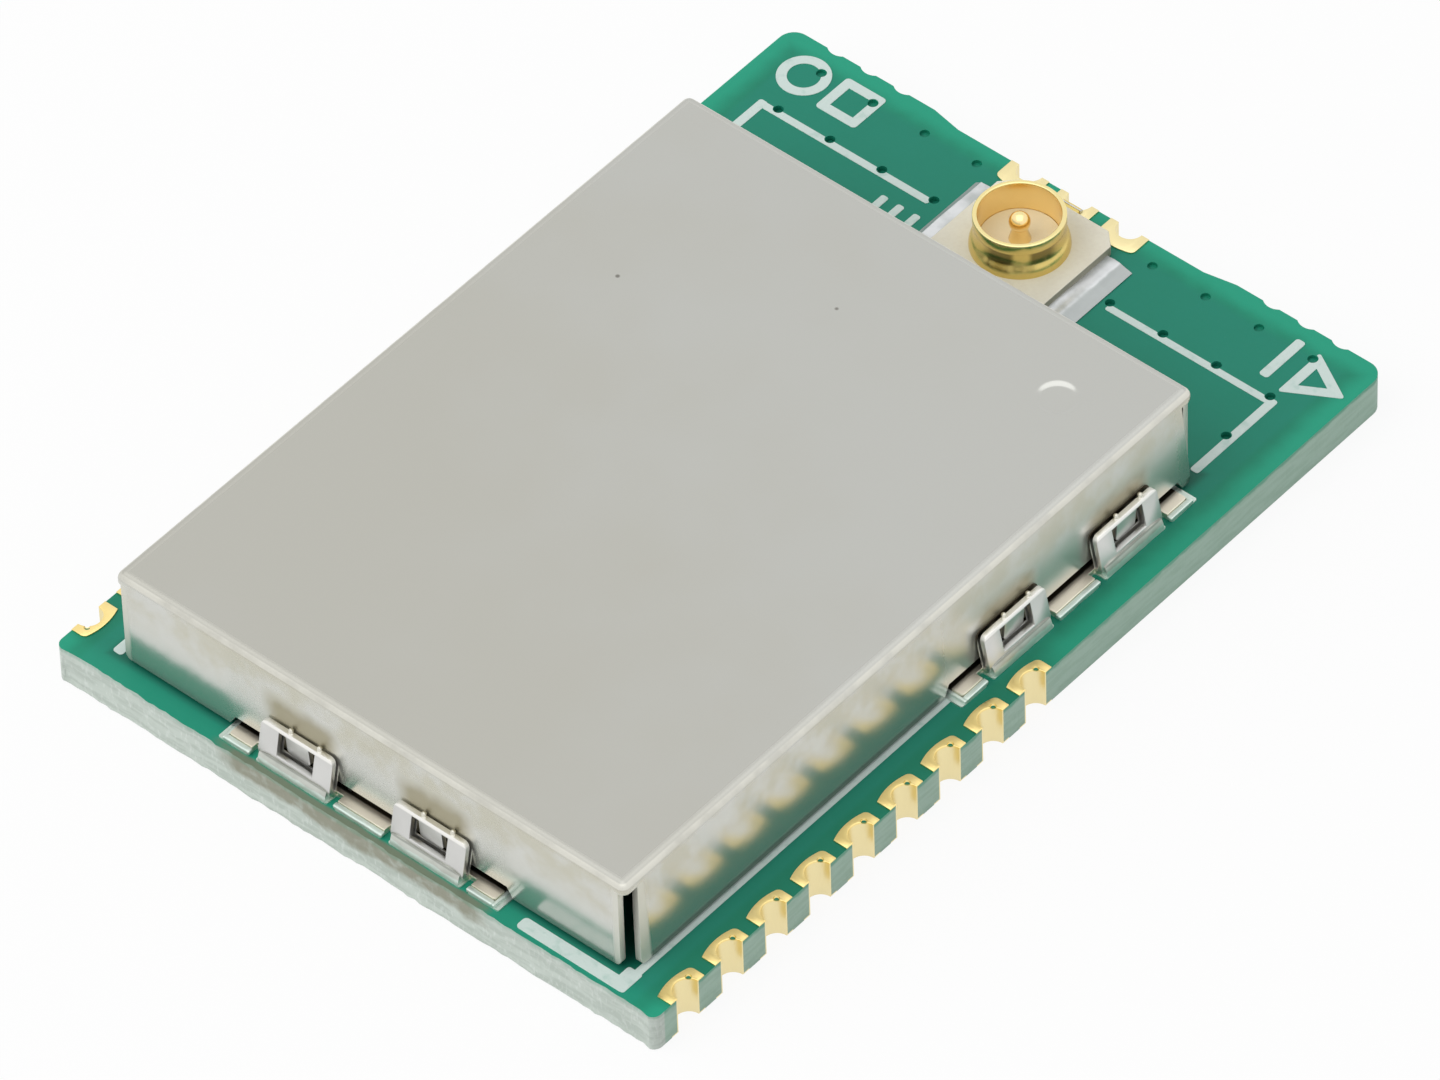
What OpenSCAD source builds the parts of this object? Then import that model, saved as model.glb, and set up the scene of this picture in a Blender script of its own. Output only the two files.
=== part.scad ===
// Shielded radio module: a castellated circuit board, a folded shield can held by spring clips,
// a micro coaxial connector and the circuit under the can.
// Millimetres. Origin at the middle of the board's underside, +Z up, +Y towards the connector.

/* [Board] */
// Short side of the board
board_w = 16.7; // [16:0.1:20]
// Long side of the board, over the break-off stubs
board_l = 24.0; // [23.5:0.1:30]
// Thickness of the laminate
board_t = 1.0; // [0.6:0.1:1.6]
// Radius of the board's far corners
board_corner_r = 0.4; // [0.2:0.1:0.8]
// Width of each break-off stub on the far edge
stub_w = 4.1; // [3:0.1:5]
// How far the stubs stand out from the routed far edge
stub_proud = 0.15; // [0.05:0.05:0.3]
// Run of the slope from a stub down to the routed edge
stub_run = 0.8; // [0.3:0.1:1.2]
// Radius of the drilled bites in the stubs
bite_r = 0.35; // [0.2:0.05:0.5]
// How deep each bite cuts into its stub
bite_depth = 0.08; // [0.04:0.01:0.12]
// Distance between neighbouring bites
bite_pitch = 0.95; // [0.8:0.05:1.1]
// Bites in each stub
bite_count = 3; // [1:1:3]

/* [Edge pads] */
// Distance between neighbouring edge pads
pad_pitch = 1.4; // [1.3:0.05:1.5]
// Pads along each long side
pad_count = 9; // [4:1:9]
// Front edge to the middle of the first pad
pad_first = 1.06; // [0.9:0.02:1.4]
// Length of a pad along its edge
pad_w = 1.06; // [0.9:0.02:1.1]
// Depth of a side pad in from the edge
pad_reach = 0.46; // [0.4:0.02:0.5]
// Depth of a radio pad in from the far edge
rf_pad_reach = 0.65; // [0.5:0.05:0.7]
// Radio pads on the far edge
rf_pad_count = 3; // [1:2:3]
// How far a pad's inner edge bulges between its corners
pad_bulge = 0.1; // [0.04:0.02:0.2]
// Radius of the open half-hole
half_hole_r = 0.32; // [0.25:0.01:0.34]
// Thickness of the plating and of the lands
land_t = 0.035; // [0.02:0.005:0.06]

/* [Vias] */
// Diameter of a via
via_d = 0.25; // [0.2:0.05:0.3]
// Distance between vias in a row
via_pitch = 1.48; // [1.3:0.02:1.6]
// Middle of the board to the nearest via of a far row
via_inner = 2.47; // [2.3:0.01:2.6]
// Far edge to the outer via row
via_row_outer = 0.7; // [0.6:0.05:0.9]
// Outer via row to the inner one
via_row_gap = 1.44; // [1.2:0.02:1.6]
// Vias on each side of a far row
via_count = 4; // [2:1:4]
// Distance between the vias down each side
via_side_gap = 1.5; // [1.3:0.05:1.6]
// Vias down each side behind the rows
via_side_count = 2; // [1:1:2]

/* [Shield can] */
// Board's long edges to the upper folds of the side walls
can_side = 1.3; // [1.2:0.05:1.6]
// Height of the can, from its lower edge to its top
can_h = 2.49; // [2:0.01:3]
// Thickness of the can's sheet
can_wall = 0.16; // [0.12:0.02:0.24]
// Inside radius of the can's folds
can_bend = 0.03; // [0.02:0.01:0.3]
// How far the side walls spread towards their lower edges
can_flare = 0.16; // [0:0.02:0.2]
// Board's front edge to the can's front wall
can_front = 0.65; // [0.65:0.05:0.9]
// Board's far edge to the can's rear wall
can_rear = 4.9; // [4.8:0.1:6]
// Can's end faces to the ends of the side walls
slot_w = 0.4; // [0.3:0.05:0.5]
// Can's top to the upper end of a corner slot
slot_head = 0.27; // [0.22:0.01:0.5]
// Radius of the walls' lower corners
wall_corner_r = 0.15; // [0.1:0.05:0.5]
// Gap between the board's lands and the can's lower edge
can_stand = 0.03; // [0.02:0.01:0.1]
// Gap between the clips' base plates and the notches over them
can_lift = 0.18; // [0.05:0.01:0.25]
// Gap between a clip's end and the end of its notch
notch_gap = 0.08; // [0.05:0.01:0.2]
// Run of the slope at a notch's end
notch_run = 0.15; // [0.05:0.05:0.3]
// Diameter of the round dimple on the can
dimple_d = 0.8; // [0.5:0.1:1.5]
// Depth of the dimple
dimple_depth = 0.06; // [0.03:0.01:0.1]
// Right wall to the middle of the dimple
dimple_in_x = 2.23; // [1.5:0.05:4]
// Rear wall to the middle of the dimple
dimple_in_y = 1.89; // [1.5:0.05:4]

/* [Clips] */
// Length of a clip along its wall
clip_l = 7.4; // [7:0.1:8]
// Thickness of the clips' sheet
clip_t = 0.12; // [0.1:0.01:0.18]
// Height of a clip's outer arms
clip_h = 1.04; // [1:0.02:1.4]
// Inside radius of a clip's bends
clip_bend = 0.1; // [0.06:0.02:0.14]
// Length of an outer arm along the wall
arm_w = 2.0; // [1.8:0.05:2.1]
// Distance between the middles of a clip's arms
arm_pitch = 3.7; // [3.6:0.02:4]
// Can wall to the inner face of an outer arm, at its top
arm_stand = 0.04; // [0.03:0.01:0.1]
// Angle at which an outer arm leans in to the can
arm_lean = 12; // [8:1:14]
// Radius of an arm's upper corners
arm_corner_r = 0.15; // [0.1:0.05:0.3]
// Width of the window in an arm
window_w = 1.0; // [0.9:0.05:1.2]
// Height of the window
window_h = 0.6; // [0.5:0.02:0.66]
// Clip's underside to the window's sill
window_sill = 0.34; // [0.3:0.02:0.4]
// Width of the spring tongue in the window
tongue_w = 0.64; // [0.5:0.02:0.7]
// Gap between the tongue's tip and the sill
tongue_gap = 0.06; // [0.04:0.02:0.16]
// Chamfer on the tongue's lower corners
tongue_chamfer = 0.12; // [0.06:0.02:0.2]
// Gap left at the can's wall by tongues, domes and fingers
spring_gap = 0.02; // [0.01:0.01:0.04]
// Distance between the contact domes of an arm
dome_pitch = 0.8; // [0.7:0.05:1.3]
// Middle of an arm to the point midway between its domes
dome_shift = 0.16; // [0:0.02:0.2]
// How far the domes stand over the arm's top
dome_rise = 0.12; // [0.1:0.01:0.16]
// Diameter of a contact dome
dome_d = 0.14; // [0.12:0.02:0.18]
// Can wall to the outer edge of the feet
foot_out = 0.36; // [0.34:0.02:0.5]
// Can's outer face to the inner edge of the base plate
base_in = 0.46; // [0.44:0.02:0.56]
// Width of the relief cuts beside arms and fingers
relief_w = 0.2; // [0.1:0.05:0.25]
// Length of the inner finger along the wall
finger_w = 1.2; // [0.8:0.05:1.3]
// Height of the inner finger
finger_h = 0.95; // [0.7:0.05:1]
// Rear wall to the middle of the side clips
side_clip_back = 4.5; // [4.2:0.1:6]
// How far the solder bed reaches past the base plate's long edges
bed_rim = 0.08; // [0.06:0.02:0.14]
// How far the solder bed reaches past the clip's ends
bed_end = 0.2; // [0.1:0.02:0.3]
// Height of the solder fillets at the arms
arm_fillet = 0.25; // [0.15:0.01:0.26]
// Least thickness at the edges of a solder fillet
fillet_tip = 0.02; // [0.01:0.005:0.03]

/* [Coaxial connector] */
// Board's far edge to the connector's axis
conn_back = 2.2; // [2.05:0.05:2.3]
// Width of the plastic base
conn_base_w = 3.2; // [2.8:0.05:3.3]
// Length of the plastic base
conn_base_l = 3.0; // [2.8:0.05:3.2]
// Height of the plastic base
conn_base_h = 0.36; // [0.3:0.01:0.4]
// Chamfer on the base's corners
conn_chamfer = 0.35; // [0.2:0.05:0.5]
// Diameter of the ring's rim
ring_d = 2.06; // [1.9:0.02:2.1]
// Bore of the ring
ring_bore = 1.84; // [1.5:0.02:1.88]
// Height of the ring over its seat
ring_h = 1.18; // [1.1:0.02:1.3]
// Height of the ring's rim band
rim_h = 0.22; // [0.2:0.02:0.34]
// Radius of the rim's upper edges
rim_soft = 0.03; // [0.02:0.01:0.05]
// Depth of the round groove under the rim
groove_depth = 0.04; // [0.03:0.01:0.07]
// How far the collar at the ring's foot stands out past the rim
collar_out = 0.09; // [0.06:0.01:0.16]
// Height of the collar
collar_h = 0.29; // [0.14:0.01:0.34]
// Diameter of the centre contact
contact_d = 0.44; // [0.4:0.02:0.56]
// Height of the centre contact
contact_h = 1.16; // [0.9:0.02:1.2]
// Height of the plastic floor inside the ring
floor_h = 0.42; // [0.38:0.02:0.5]
// Thickness of the tabs' sheet
tab_t = 0.08; // [0.06:0.01:0.14]
// Length of a ground tab along the base
tab_l = 2.0; // [1.6:0.05:2]
// How far a ground tab stands out from the base
tab_out = 0.35; // [0.2:0.05:0.45]
// Width of the contact's tail
tail_w = 0.5; // [0.4:0.02:0.56]
// Thickness of the contact's tail
tail_t = 0.07; // [0.06:0.01:0.1]
// How far the tail stands out from the base
tail_out = 0.3; // [0.2:0.05:0.35]
// Plastic kept between the tail and the ring's foot
tail_clear = 0.05; // [0.03:0.01:0.08]
// How far the solder spreads past a tab or the tail
conn_solder = 0.28; // [0.15:0.01:0.3]

/* [Circuit under the can] */
// Side of the transceiver's package
radio_s = 7.0; // [6:0.5:7]
// Side of the amplifier's package
amp_s = 4.0; // [3:0.5:4]
// Height of both packages
qfn_h = 0.85; // [0.7:0.05:1]
// Leads along one side of the transceiver
radio_leads = 12; // [8:1:12]
// Leads along one side of the amplifier
amp_leads = 5; // [3:1:6]
// Distance between leads
lead_pitch = 0.5; // [0.4:0.05:0.5]
// Width of a lead
lead_w = 0.24; // [0.18:0.02:0.26]
// Depth of a lead in from the package's side
lead_l = 0.4; // [0.3:0.05:0.5]
// Height of a lead up the package's side
lead_h = 0.2; // [0.15:0.01:0.25]
// Length of the crystal
crystal_l = 3.2; // [2.5:0.1:3.2]
// Width of the crystal
crystal_w = 2.5; // [2:0.1:2.5]
// Height of the crystal's ceramic base
crystal_base_h = 0.45; // [0.3:0.05:0.5]
// Height of the crystal's metal lid
crystal_lid_h = 0.25; // [0.2:0.05:0.4]
// Step from the crystal's base in to its lid
crystal_step = 0.15; // [0.1:0.05:0.3]
// Length of the filter
filter_l = 2.0; // [1.6:0.1:2]
// Width of the filter
filter_w = 1.25; // [0.8:0.05:1.25]
// Height of the filter
filter_h = 0.95; // [0.8:0.05:1]
// Length of a chip part
chip_l = 1.0; // [0.8:0.05:1]
// Width of a chip part
chip_w = 0.5; // [0.4:0.05:0.5]
// Height of a chip capacitor or inductor
chip_h = 0.5; // [0.4:0.05:0.55]
// Height of a chip resistor
resistor_h = 0.35; // [0.3:0.05:0.4]
// Length of an end cap on a chip part
cap_l = 0.25; // [0.15:0.05:0.3]
// Free space kept between neighbouring parts of the circuit
part_gap = 0.6; // [0.4:0.05:0.7]

/* [Hidden] */
$fn = 48;
// Overshoot of cutting tools
eps = 0.5;

// Board edges and pad rows
front_y = -board_l / 2;
far_y = board_l / 2;
routed_y = far_y - stub_proud;
drill_r = half_hole_r + land_t;

// Places of the can, its walls and the clips
seat_z = board_t + land_t;
can_w = board_w - 2 * can_side;
can_l = board_l - can_front - can_rear;
can_z = seat_z + can_stand;
can_y = front_y + can_front + can_l / 2;
can_fold_r = can_bend + can_wall;
can_slope = can_flare / can_h;
end_wall_w = can_w - 2 * can_wall;
notch_h = clip_t + can_lift - can_stand;
side_wall_x = can_w / 2 + can_flare;
side_clip_y = can_y + can_l / 2 - side_clip_back;

// Clip sections: distances out from the can's outer face
clip_bend_out = clip_bend + clip_t;
arm_root = arm_stand - clip_bend / cos(arm_lean) + (clip_h - clip_bend_out) * tan(arm_lean);
window_top = window_sill + window_h;
bed_out = foot_out + bed_rim;

// Connector
conn_y = far_y - conn_back;
ring_r = ring_d / 2;
bore_r = ring_bore / 2;
groove_h = ring_h - rim_h - conn_base_h - collar_h;
groove_r = (pow(groove_h / 2, 2) + pow(groove_depth, 2)) / (2 * groove_depth);
collar_r = ring_r + collar_out;
collar_round = (pow(collar_h, 2) + pow(collar_out, 2)) / (2 * collar_out);
contact_r = contact_d / 2;

// Layout of the circuit: reach of its parts from the transceiver's middle, and the middles themselves
chip_pitch = chip_l + part_gap;
chip_lane = part_gap + chip_w;
row_gap = 1.5 * part_gap;
reach_right = radio_s / 2 + 2 * chip_lane;
reach_left = amp_s + part_gap + crystal_l - radio_s / 2;
reach_front = radio_s / 2 + chip_lane;
reach_rear = radio_s / 2 + row_gap + max(amp_s, crystal_w + part_gap + filter_w);
radio_x = (reach_left - reach_right) / 2;
radio_y = can_y + (reach_front - reach_rear) / 2;
radio_edge = radio_s / 2 + part_gap + chip_w / 2;
amp_x = radio_x + (radio_s - amp_s) / 2;
amp_y = radio_y + (radio_s + amp_s) / 2 + row_gap;
crystal_x = amp_x - (amp_s + crystal_l) / 2 - part_gap;
crystal_y = radio_y + (radio_s + crystal_w) / 2 + row_gap;
filter_y = crystal_y + (crystal_w + filter_w) / 2 + part_gap;

// Chip parts as [x, y, turned], turned parts lying along Y
cap_row = [for (i = [-2:2]) [radio_x + i * chip_pitch, radio_y - radio_edge, 0]];
cap_column = [for (i = [-2:2]) [radio_x + radio_edge, radio_y + i * chip_pitch, 1]];
capacitor_places = concat(cap_row, cap_column);
inductor_places = [for (i = [-1:1]) [radio_x + radio_edge, amp_y + i * chip_pitch, 1]];
resistor_places = [for (i = [-1:1]) [radio_x + radio_edge + chip_lane, radio_y + i * chip_pitch, 1]];

// A square with four round corners, about its middle
module round_square(w, l, r) {
    square([w - 2 * r, l], center = true);
    square([w, l - 2 * r], center = true);
    for (sx = [-1, 1], sy = [-1, 1])
        translate([sx * (w / 2 - r), sy * (l / 2 - r)]) circle(r);
}

// A square standing on the X axis with its two upper corners rounded
module arch(w, h, r) {
    translate([-w / 2, 0]) square([w, h - r]);
    translate([-w / 2 + r, 0]) square([w - 2 * r, h]);
    for (s = [-1, 1]) translate([s * (w / 2 - r), h - r]) circle(r);
}

// What a concave round takes off a square corner at the origin
module corner_waste(r) {
    difference() {
        translate([-eps, -eps]) square(r + eps);
        translate([r, r]) circle(r);
    }
}

// Places its children at every edge pad: +Y out across the edge, the edge on the X axis
module at_side_pads(side) {
    for (i = [0:pad_count - 1])
        translate([side * board_w / 2, front_y + pad_first + i * pad_pitch]) rotate(-side * 90) children();
}

module at_rf_pads() {
    for (i = [0:rf_pad_count - 1])
        translate([(i - (rf_pad_count - 1) / 2) * pad_pitch, routed_y]) children();
}

// Outline of a land with a bulging inner edge, with the half-hole left in it
module land_outline(reach) {
    bulge_r = (pow(pad_w / 2, 2) + pow(pad_bulge, 2)) / (2 * pad_bulge);
    intersection() {
        translate([-pad_w / 2, -reach]) square([pad_w, reach]);
        translate([0, bulge_r - reach]) circle(bulge_r);
    }
}

// One plated half-hole: the barrel and its two lands
module edge_pad(reach) {
    for (z = [0, board_t])
        translate([0, 0, z]) linear_extrude(land_t) difference() {
            land_outline(reach);
            circle(half_hole_r);
        }
    linear_extrude(seat_z) difference() {
        intersection() {
            circle(drill_r);
            translate([-drill_r, -drill_r]) square([2 * drill_r, drill_r]);
        }
        circle(half_hole_r);
    }
}

module board_outline() {
    routed_w = board_w - 2 * stub_w;
    difference() {
        union() {
            round_square(board_w, board_l, board_corner_r);
            translate([-board_w / 2, front_y]) square([board_w, board_l / 2]);
        }
        polygon([[-routed_w / 2, far_y + eps], [-routed_w / 2, far_y], [-routed_w / 2 + stub_run, routed_y],
                 [routed_w / 2 - stub_run, routed_y], [routed_w / 2, far_y], [routed_w / 2, far_y + eps]]);
        for (s = [-1, 1], i = [0:bite_count - 1])
            translate([s * (routed_w / 2 + bite_pitch * (i + 1)), far_y + bite_r - bite_depth]) circle(bite_r);
        for (side = [-1, 1]) at_side_pads(side) circle(drill_r);
        at_rf_pads() circle(drill_r);
        vias();
    }
}

// Vias in two rows beside the connector, and down the sides behind the can
module vias() {
    for (s = [-1, 1], row = [0, 1], i = [0:via_count - 1])
        translate([s * (via_inner + i * via_pitch), far_y - via_row_outer - row * via_row_gap])
            circle(d = via_d);
    for (s = [-1, 1], i = [1:via_side_count])
        translate([s * (via_inner + (via_count - 1) * via_pitch),
                   far_y - via_row_outer - via_row_gap - i * via_side_gap])
            circle(d = via_d);
}

module board() {
    color([0.16, 0.49, 0.37]) difference() {
        linear_extrude(board_t) board_outline();
        translate([0, 0, -eps]) linear_extrude(eps + land_t) {
            for (side = [-1, 1]) at_side_pads(side) land_outline(pad_reach);
            at_rf_pads() land_outline(rf_pad_reach);
        }
    }
}

module pads_right() { color([0.85, 0.72, 0.4]) at_side_pads(1) edge_pad(pad_reach); }
module pads_left() { color([0.85, 0.72, 0.4]) at_side_pads(-1) edge_pad(pad_reach); }
module pads_rf() { color([0.85, 0.72, 0.4]) at_rf_pads() edge_pad(rf_pad_reach); }

// A section standing on the X axis: w wide between its upper folds, with sides that spread downwards
module fold_section(w, h, r, slope) {
    lean = atan(slope);
    reach = r * tan(45 - lean / 2);
    foot_x = w / 2 + slope * h;
    side_x = w / 2 + reach * sin(lean);
    side_y = h - reach * cos(lean);
    polygon([[-foot_x, 0], [foot_x, 0], [side_x, side_y], [w / 2 - reach, h], [reach - w / 2, h],
             [-side_x, side_y]]);
    for (s = [-1, 1]) translate([s * (w / 2 - reach), h - r]) circle(r);
}

// A block with folds along its four upper edges and spreading sides, standing on z = 0
module folded_block(w, l, h, r, slope) {
    intersection() {
        rotate([90, 0, 0]) linear_extrude(l, center = true) fold_section(w, h, r, slope);
        rotate([90, 0, 90]) linear_extrude(w + 2 * slope * h, center = true) fold_section(l, h, r, 0);
    }
}

// Slot that ends a side wall short of the end wall, up to the fold
module corner_slot() {
    translate([end_wall_w / 2, can_l / 2 - slot_w, -eps])
        cube([can_wall + can_flare + eps, slot_w + eps, can_h - slot_head + eps]);
}

// Rounding of the lower corners of one end wall and one side wall
module lower_corners() {
    clear = (slot_w - can_wall) / 2;
    translate([end_wall_w / 2, can_l / 2 + eps, 0]) rotate([90, 0, 0])
        linear_extrude(can_wall + clear + eps) mirror([1, 0]) corner_waste(wall_corner_r);
    translate([end_wall_w / 2, can_l / 2 - slot_w, 0]) rotate([90, 0, 90])
        linear_extrude(can_wall + can_flare + eps) mirror([1, 0]) corner_waste(wall_corner_r);
}

// Notch with sloping ends over one clip, cut out across the Y axis
module clip_notch() {
    top_x = clip_l / 2 + notch_gap;
    foot_x = top_x + notch_run;
    rotate([90, 0, 0]) linear_extrude(2 * (can_wall + can_flare + eps), center = true)
        polygon([[-foot_x, -eps], [foot_x, -eps], [foot_x, 0], [top_x, notch_h], [-top_x, notch_h],
                 [-foot_x, 0]]);
}

module shield_can() {
    inner_w = can_w + 2 * can_wall * (can_slope - 1 / cos(atan(can_slope)));
    color([0.72, 0.72, 0.69]) translate([0, can_y, can_z]) difference() {
        folded_block(can_w, can_l, can_h, can_fold_r, can_slope);
        translate([0, 0, -eps])
            folded_block(inner_w, can_l - 2 * can_wall, can_h - can_wall + eps, can_bend, can_slope);
        for (mx = [0, 1], my = [0, 1]) mirror([mx, 0, 0]) mirror([0, my, 0]) {
            corner_slot();
            lower_corners();
        }
        for (end = [-1, 1]) translate([0, end * can_l / 2, 0]) clip_notch();
        for (side = [-1, 1]) translate([side * side_wall_x, side_clip_y - can_y, 0]) rotate(90) clip_notch();
        translate([can_w / 2 - dimple_in_x, can_l / 2 - dimple_in_y, can_h - dimple_depth])
            cylinder(d = dimple_d, h = dimple_depth + eps);
    }
}

// Section of a strip bent up out of the base plate: out along X, up along Y, the plate's underside on
// Y = 0 and the bend's middle over X = root; the strip leans back by an angle
module strip_section(root, h, lean) {
    translate([root, clip_bend_out]) intersection() {
        difference() {
            circle(clip_bend_out);
            circle(clip_bend);
        }
        polygon([[0, 0], [0, -h], [h, -h], [h * cos(lean), h * sin(lean)]]);
    }
    intersection() {
        translate([root, clip_bend_out]) rotate(lean) translate([clip_bend, 0]) square([clip_t, h]);
        translate([root - h, 0]) square([2 * h + clip_bend_out, h]);
    }
}

// Inner face of an outer arm at a height, out from the can's wall
function arm_in(z) = arm_stand + (clip_h - z) * tan(arm_lean);

// Runs a section along the wall: its X out from the wall, its Y up
module along_wall(length) {
    rotate([90, 0, 90]) linear_extrude(length, center = true) children();
}

// Outline of an arm seen square on, pushed through it
module through_arm() {
    translate([0, foot_out + eps, 0]) rotate([90, 0, 0]) linear_extrude(foot_out + 2 * eps) children();
}

// Spring tongue, hanging from the window's head close to the can
module tongue() {
    tip_z = window_sill + tongue_gap;
    head_in = arm_in(window_top);
    intersection() {
        along_wall(tongue_w) polygon([[spring_gap, tip_z], [spring_gap + clip_t, tip_z],
                                      [head_in + clip_t / cos(arm_lean), window_top], [head_in, window_top]]);
        through_arm() polygon([[-tongue_w / 2, window_top], [-tongue_w / 2, tip_z + tongue_chamfer],
                               [-tongue_w / 2 + tongue_chamfer, tip_z], [tongue_w / 2 - tongue_chamfer, tip_z],
                               [tongue_w / 2, tip_z + tongue_chamfer], [tongue_w / 2, window_top]]);
    }
}

// Contact dome that stands up out of an arm's head, just short of the can
module dome() {
    top = clip_h + dome_rise - dome_d / 2;
    foot = (window_top + clip_h) / 2;
    translate([0, spring_gap + dome_d / 2, 0]) {
        translate([0, 0, foot]) cylinder(d = dome_d, h = top - foot);
        translate([0, 0, top]) sphere(d = dome_d);
    }
}

module outer_arm() {
    difference() {
        intersection() {
            along_wall(arm_w) strip_section(arm_root, clip_h, arm_lean);
            through_arm() arch(arm_w, clip_h, arm_corner_r);
        }
        through_arm() translate([-window_w / 2, window_sill]) square([window_w, window_h]);
    }
    tongue();
    for (s = [-1, 1]) translate([s * dome_pitch / 2 - dome_shift, 0, 0]) dome();
}

// Flat base plate: a strip under the can's wall with reliefs where the arms and the finger rise
module base_plate(finger_root) {
    arm_cut = arm_w + 2 * relief_w;
    finger_cut = finger_w + 2 * relief_w;
    linear_extrude(clip_t) difference() {
        translate([-clip_l / 2, -base_in]) square([clip_l, base_in + foot_out]);
        for (s = [-1, 1])
            translate([s * arm_pitch / 2 - arm_cut / 2, arm_root]) square([arm_cut, foot_out]);
        translate([-finger_cut / 2, -finger_root - base_in]) square([finger_cut, base_in]);
    }
}

// One clip: the can's wall stands on Y = 0, with its outside towards +Y, and leans in by a slope
module clip(slope) {
    finger_root = can_wall + spring_gap + slope * finger_h - clip_bend;
    base_plate(finger_root);
    for (s = [-1, 1]) translate([s * arm_pitch / 2, 0, 0]) outer_arm();
    mirror([0, 1, 0]) along_wall(finger_w) strip_section(finger_root, finger_h, 0);
}

// Solder fillet with a hollow face, out along X from its wall and up along Y
module fillet_section(leg) {
    difference() {
        square(leg);
        translate([leg, leg]) circle(leg - fillet_tip);
    }
}

// Lengths of base plate between and beside the arms, as [middle, length]
function feet() = let (mid_l = arm_pitch - arm_w - 2 * relief_w,
                       end_l = (clip_l - arm_pitch - arm_w) / 2 - relief_w)
    [[0, mid_l], [(clip_l - end_l) / 2, end_l], [(end_l - clip_l) / 2, end_l]];

// Solder under one clip, in the same place: the bed, and fillets in front of the arms and feet
module solder() {
    bed_l = clip_l + 2 * bed_end;
    climb = arm_root + sqrt(pow(clip_bend_out, 2) - pow(arm_fillet - clip_bend_out, 2)) + fillet_tip;
    translate([-bed_l / 2, -base_in - bed_rim, -land_t]) cube([bed_l, base_in + bed_rim + arm_root, land_t]);
    for (f = feet()) translate([f[0], 0, 0]) {
        translate([0, foot_out, 0]) along_wall(f[1]) fillet_section(bed_rim);
        along_wall(f[1]) translate([arm_root, -land_t]) square([bed_out - arm_root, land_t]);
    }
    for (s = [-1, 1]) translate([s * arm_pitch / 2, 0, 0]) along_wall(arm_w) {
        translate([arm_root, -land_t]) square([bed_out - arm_root, land_t]);
        difference() {
            polygon([[arm_root, 0], [bed_out, 0], [bed_out, fillet_tip], [climb, arm_fillet],
                     [arm_root, arm_fillet]]);
            translate([arm_root, clip_bend_out]) circle(clip_bend_out);
        }
    }
}

module at_front() { translate([0, can_y - can_l / 2, seat_z]) rotate(180) children(); }
module at_rear() { translate([0, can_y + can_l / 2, seat_z]) children(); }
module at_right() { translate([side_wall_x, side_clip_y, seat_z]) rotate(-90) children(); }
module at_left() { translate([-side_wall_x, side_clip_y, seat_z]) rotate(90) children(); }

module clip_front() { color([0.8, 0.8, 0.78]) at_front() clip(0); }
module clip_right() { color([0.8, 0.8, 0.78]) at_right() clip(can_slope); }
module clip_left() { color([0.8, 0.8, 0.78]) at_left() clip(can_slope); }
module clip_rear() { color([0.8, 0.8, 0.78]) at_rear() clip(0); }

module clip_solder() {
    color([0.7, 0.72, 0.72]) {
        at_front() solder();
        at_right() solder();
        at_left() solder();
        at_rear() solder();
    }
}

// Puts its children on the connector's axis, at the height of its lands
module at_connector() { translate([0, conn_y, seat_z]) children(); }

module ground_tabs() {
    tab_end = conn_base_w / 2 + tab_out;
    for (s = [-1, 1])
        translate([s * (bore_r + tab_end) / 2, 0, tab_t / 2])
            cube([tab_end - bore_r, tab_l, tab_t], center = true);
}

// Ring in section: foot in the plastic, bulging collar, round groove and soft-edged rim
module ring_section() {
    difference() {
        translate([bore_r, tab_t]) square([ring_r - bore_r, ring_h - tab_t - rim_soft]);
        translate([ring_r - groove_depth + groove_r, ring_h - rim_h - groove_h / 2]) circle(groove_r);
    }
    intersection() {
        translate([bore_r, conn_base_h]) square([collar_r - bore_r, collar_h]);
        translate([collar_r - collar_round, conn_base_h]) circle(collar_round);
    }
    translate([bore_r + rim_soft, ring_h - 2 * rim_soft])
        square([ring_r - bore_r - 2 * rim_soft, 2 * rim_soft]);
    for (x = [bore_r + rim_soft, ring_r - rim_soft]) translate([x, ring_h - rim_soft]) circle(rim_soft);
}

// The ring, with a gap in its foot for the tail
module ring() {
    gap_w = tail_w + 2 * tail_clear;
    difference() {
        rotate_extrude() ring_section();
        translate([-gap_w / 2, 0, 0]) cube([gap_w, conn_base_l, tail_t + tail_clear]);
    }
}

module contact_tail() {
    tail_end = conn_base_l / 2 + tail_out;
    translate([-tail_w / 2, 0, 0]) cube([tail_w, tail_end, tail_t]);
}

module contact() {
    cylinder(r = contact_r, h = contact_h - contact_r);
    translate([0, 0, contact_h - contact_r]) sphere(contact_r);
}

module connector_shell() {
    color([0.8, 0.65, 0.3]) at_connector() {
        ring();
        ground_tabs();
    }
}

module connector_pin() {
    color([0.85, 0.68, 0.28]) at_connector() {
        contact();
        contact_tail();
    }
}

// Plastic moulded round the ring's foot, the tabs and the tail
module connector_base() {
    half_w = conn_base_w / 2;
    half_l = conn_base_l / 2;
    c = conn_chamfer;
    color([0.88, 0.86, 0.79]) at_connector() difference() {
        union() {
            linear_extrude(conn_base_h)
                polygon([[-half_w, -half_l], [half_w, -half_l], [half_w, half_l - c], [half_w - c, half_l],
                         [-half_w + c, half_l], [-half_w, half_l - c]]);
            cylinder(r = bore_r, h = floor_h);
        }
        ring();
        ground_tabs();
        contact();
        contact_tail();
    }
}

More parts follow.
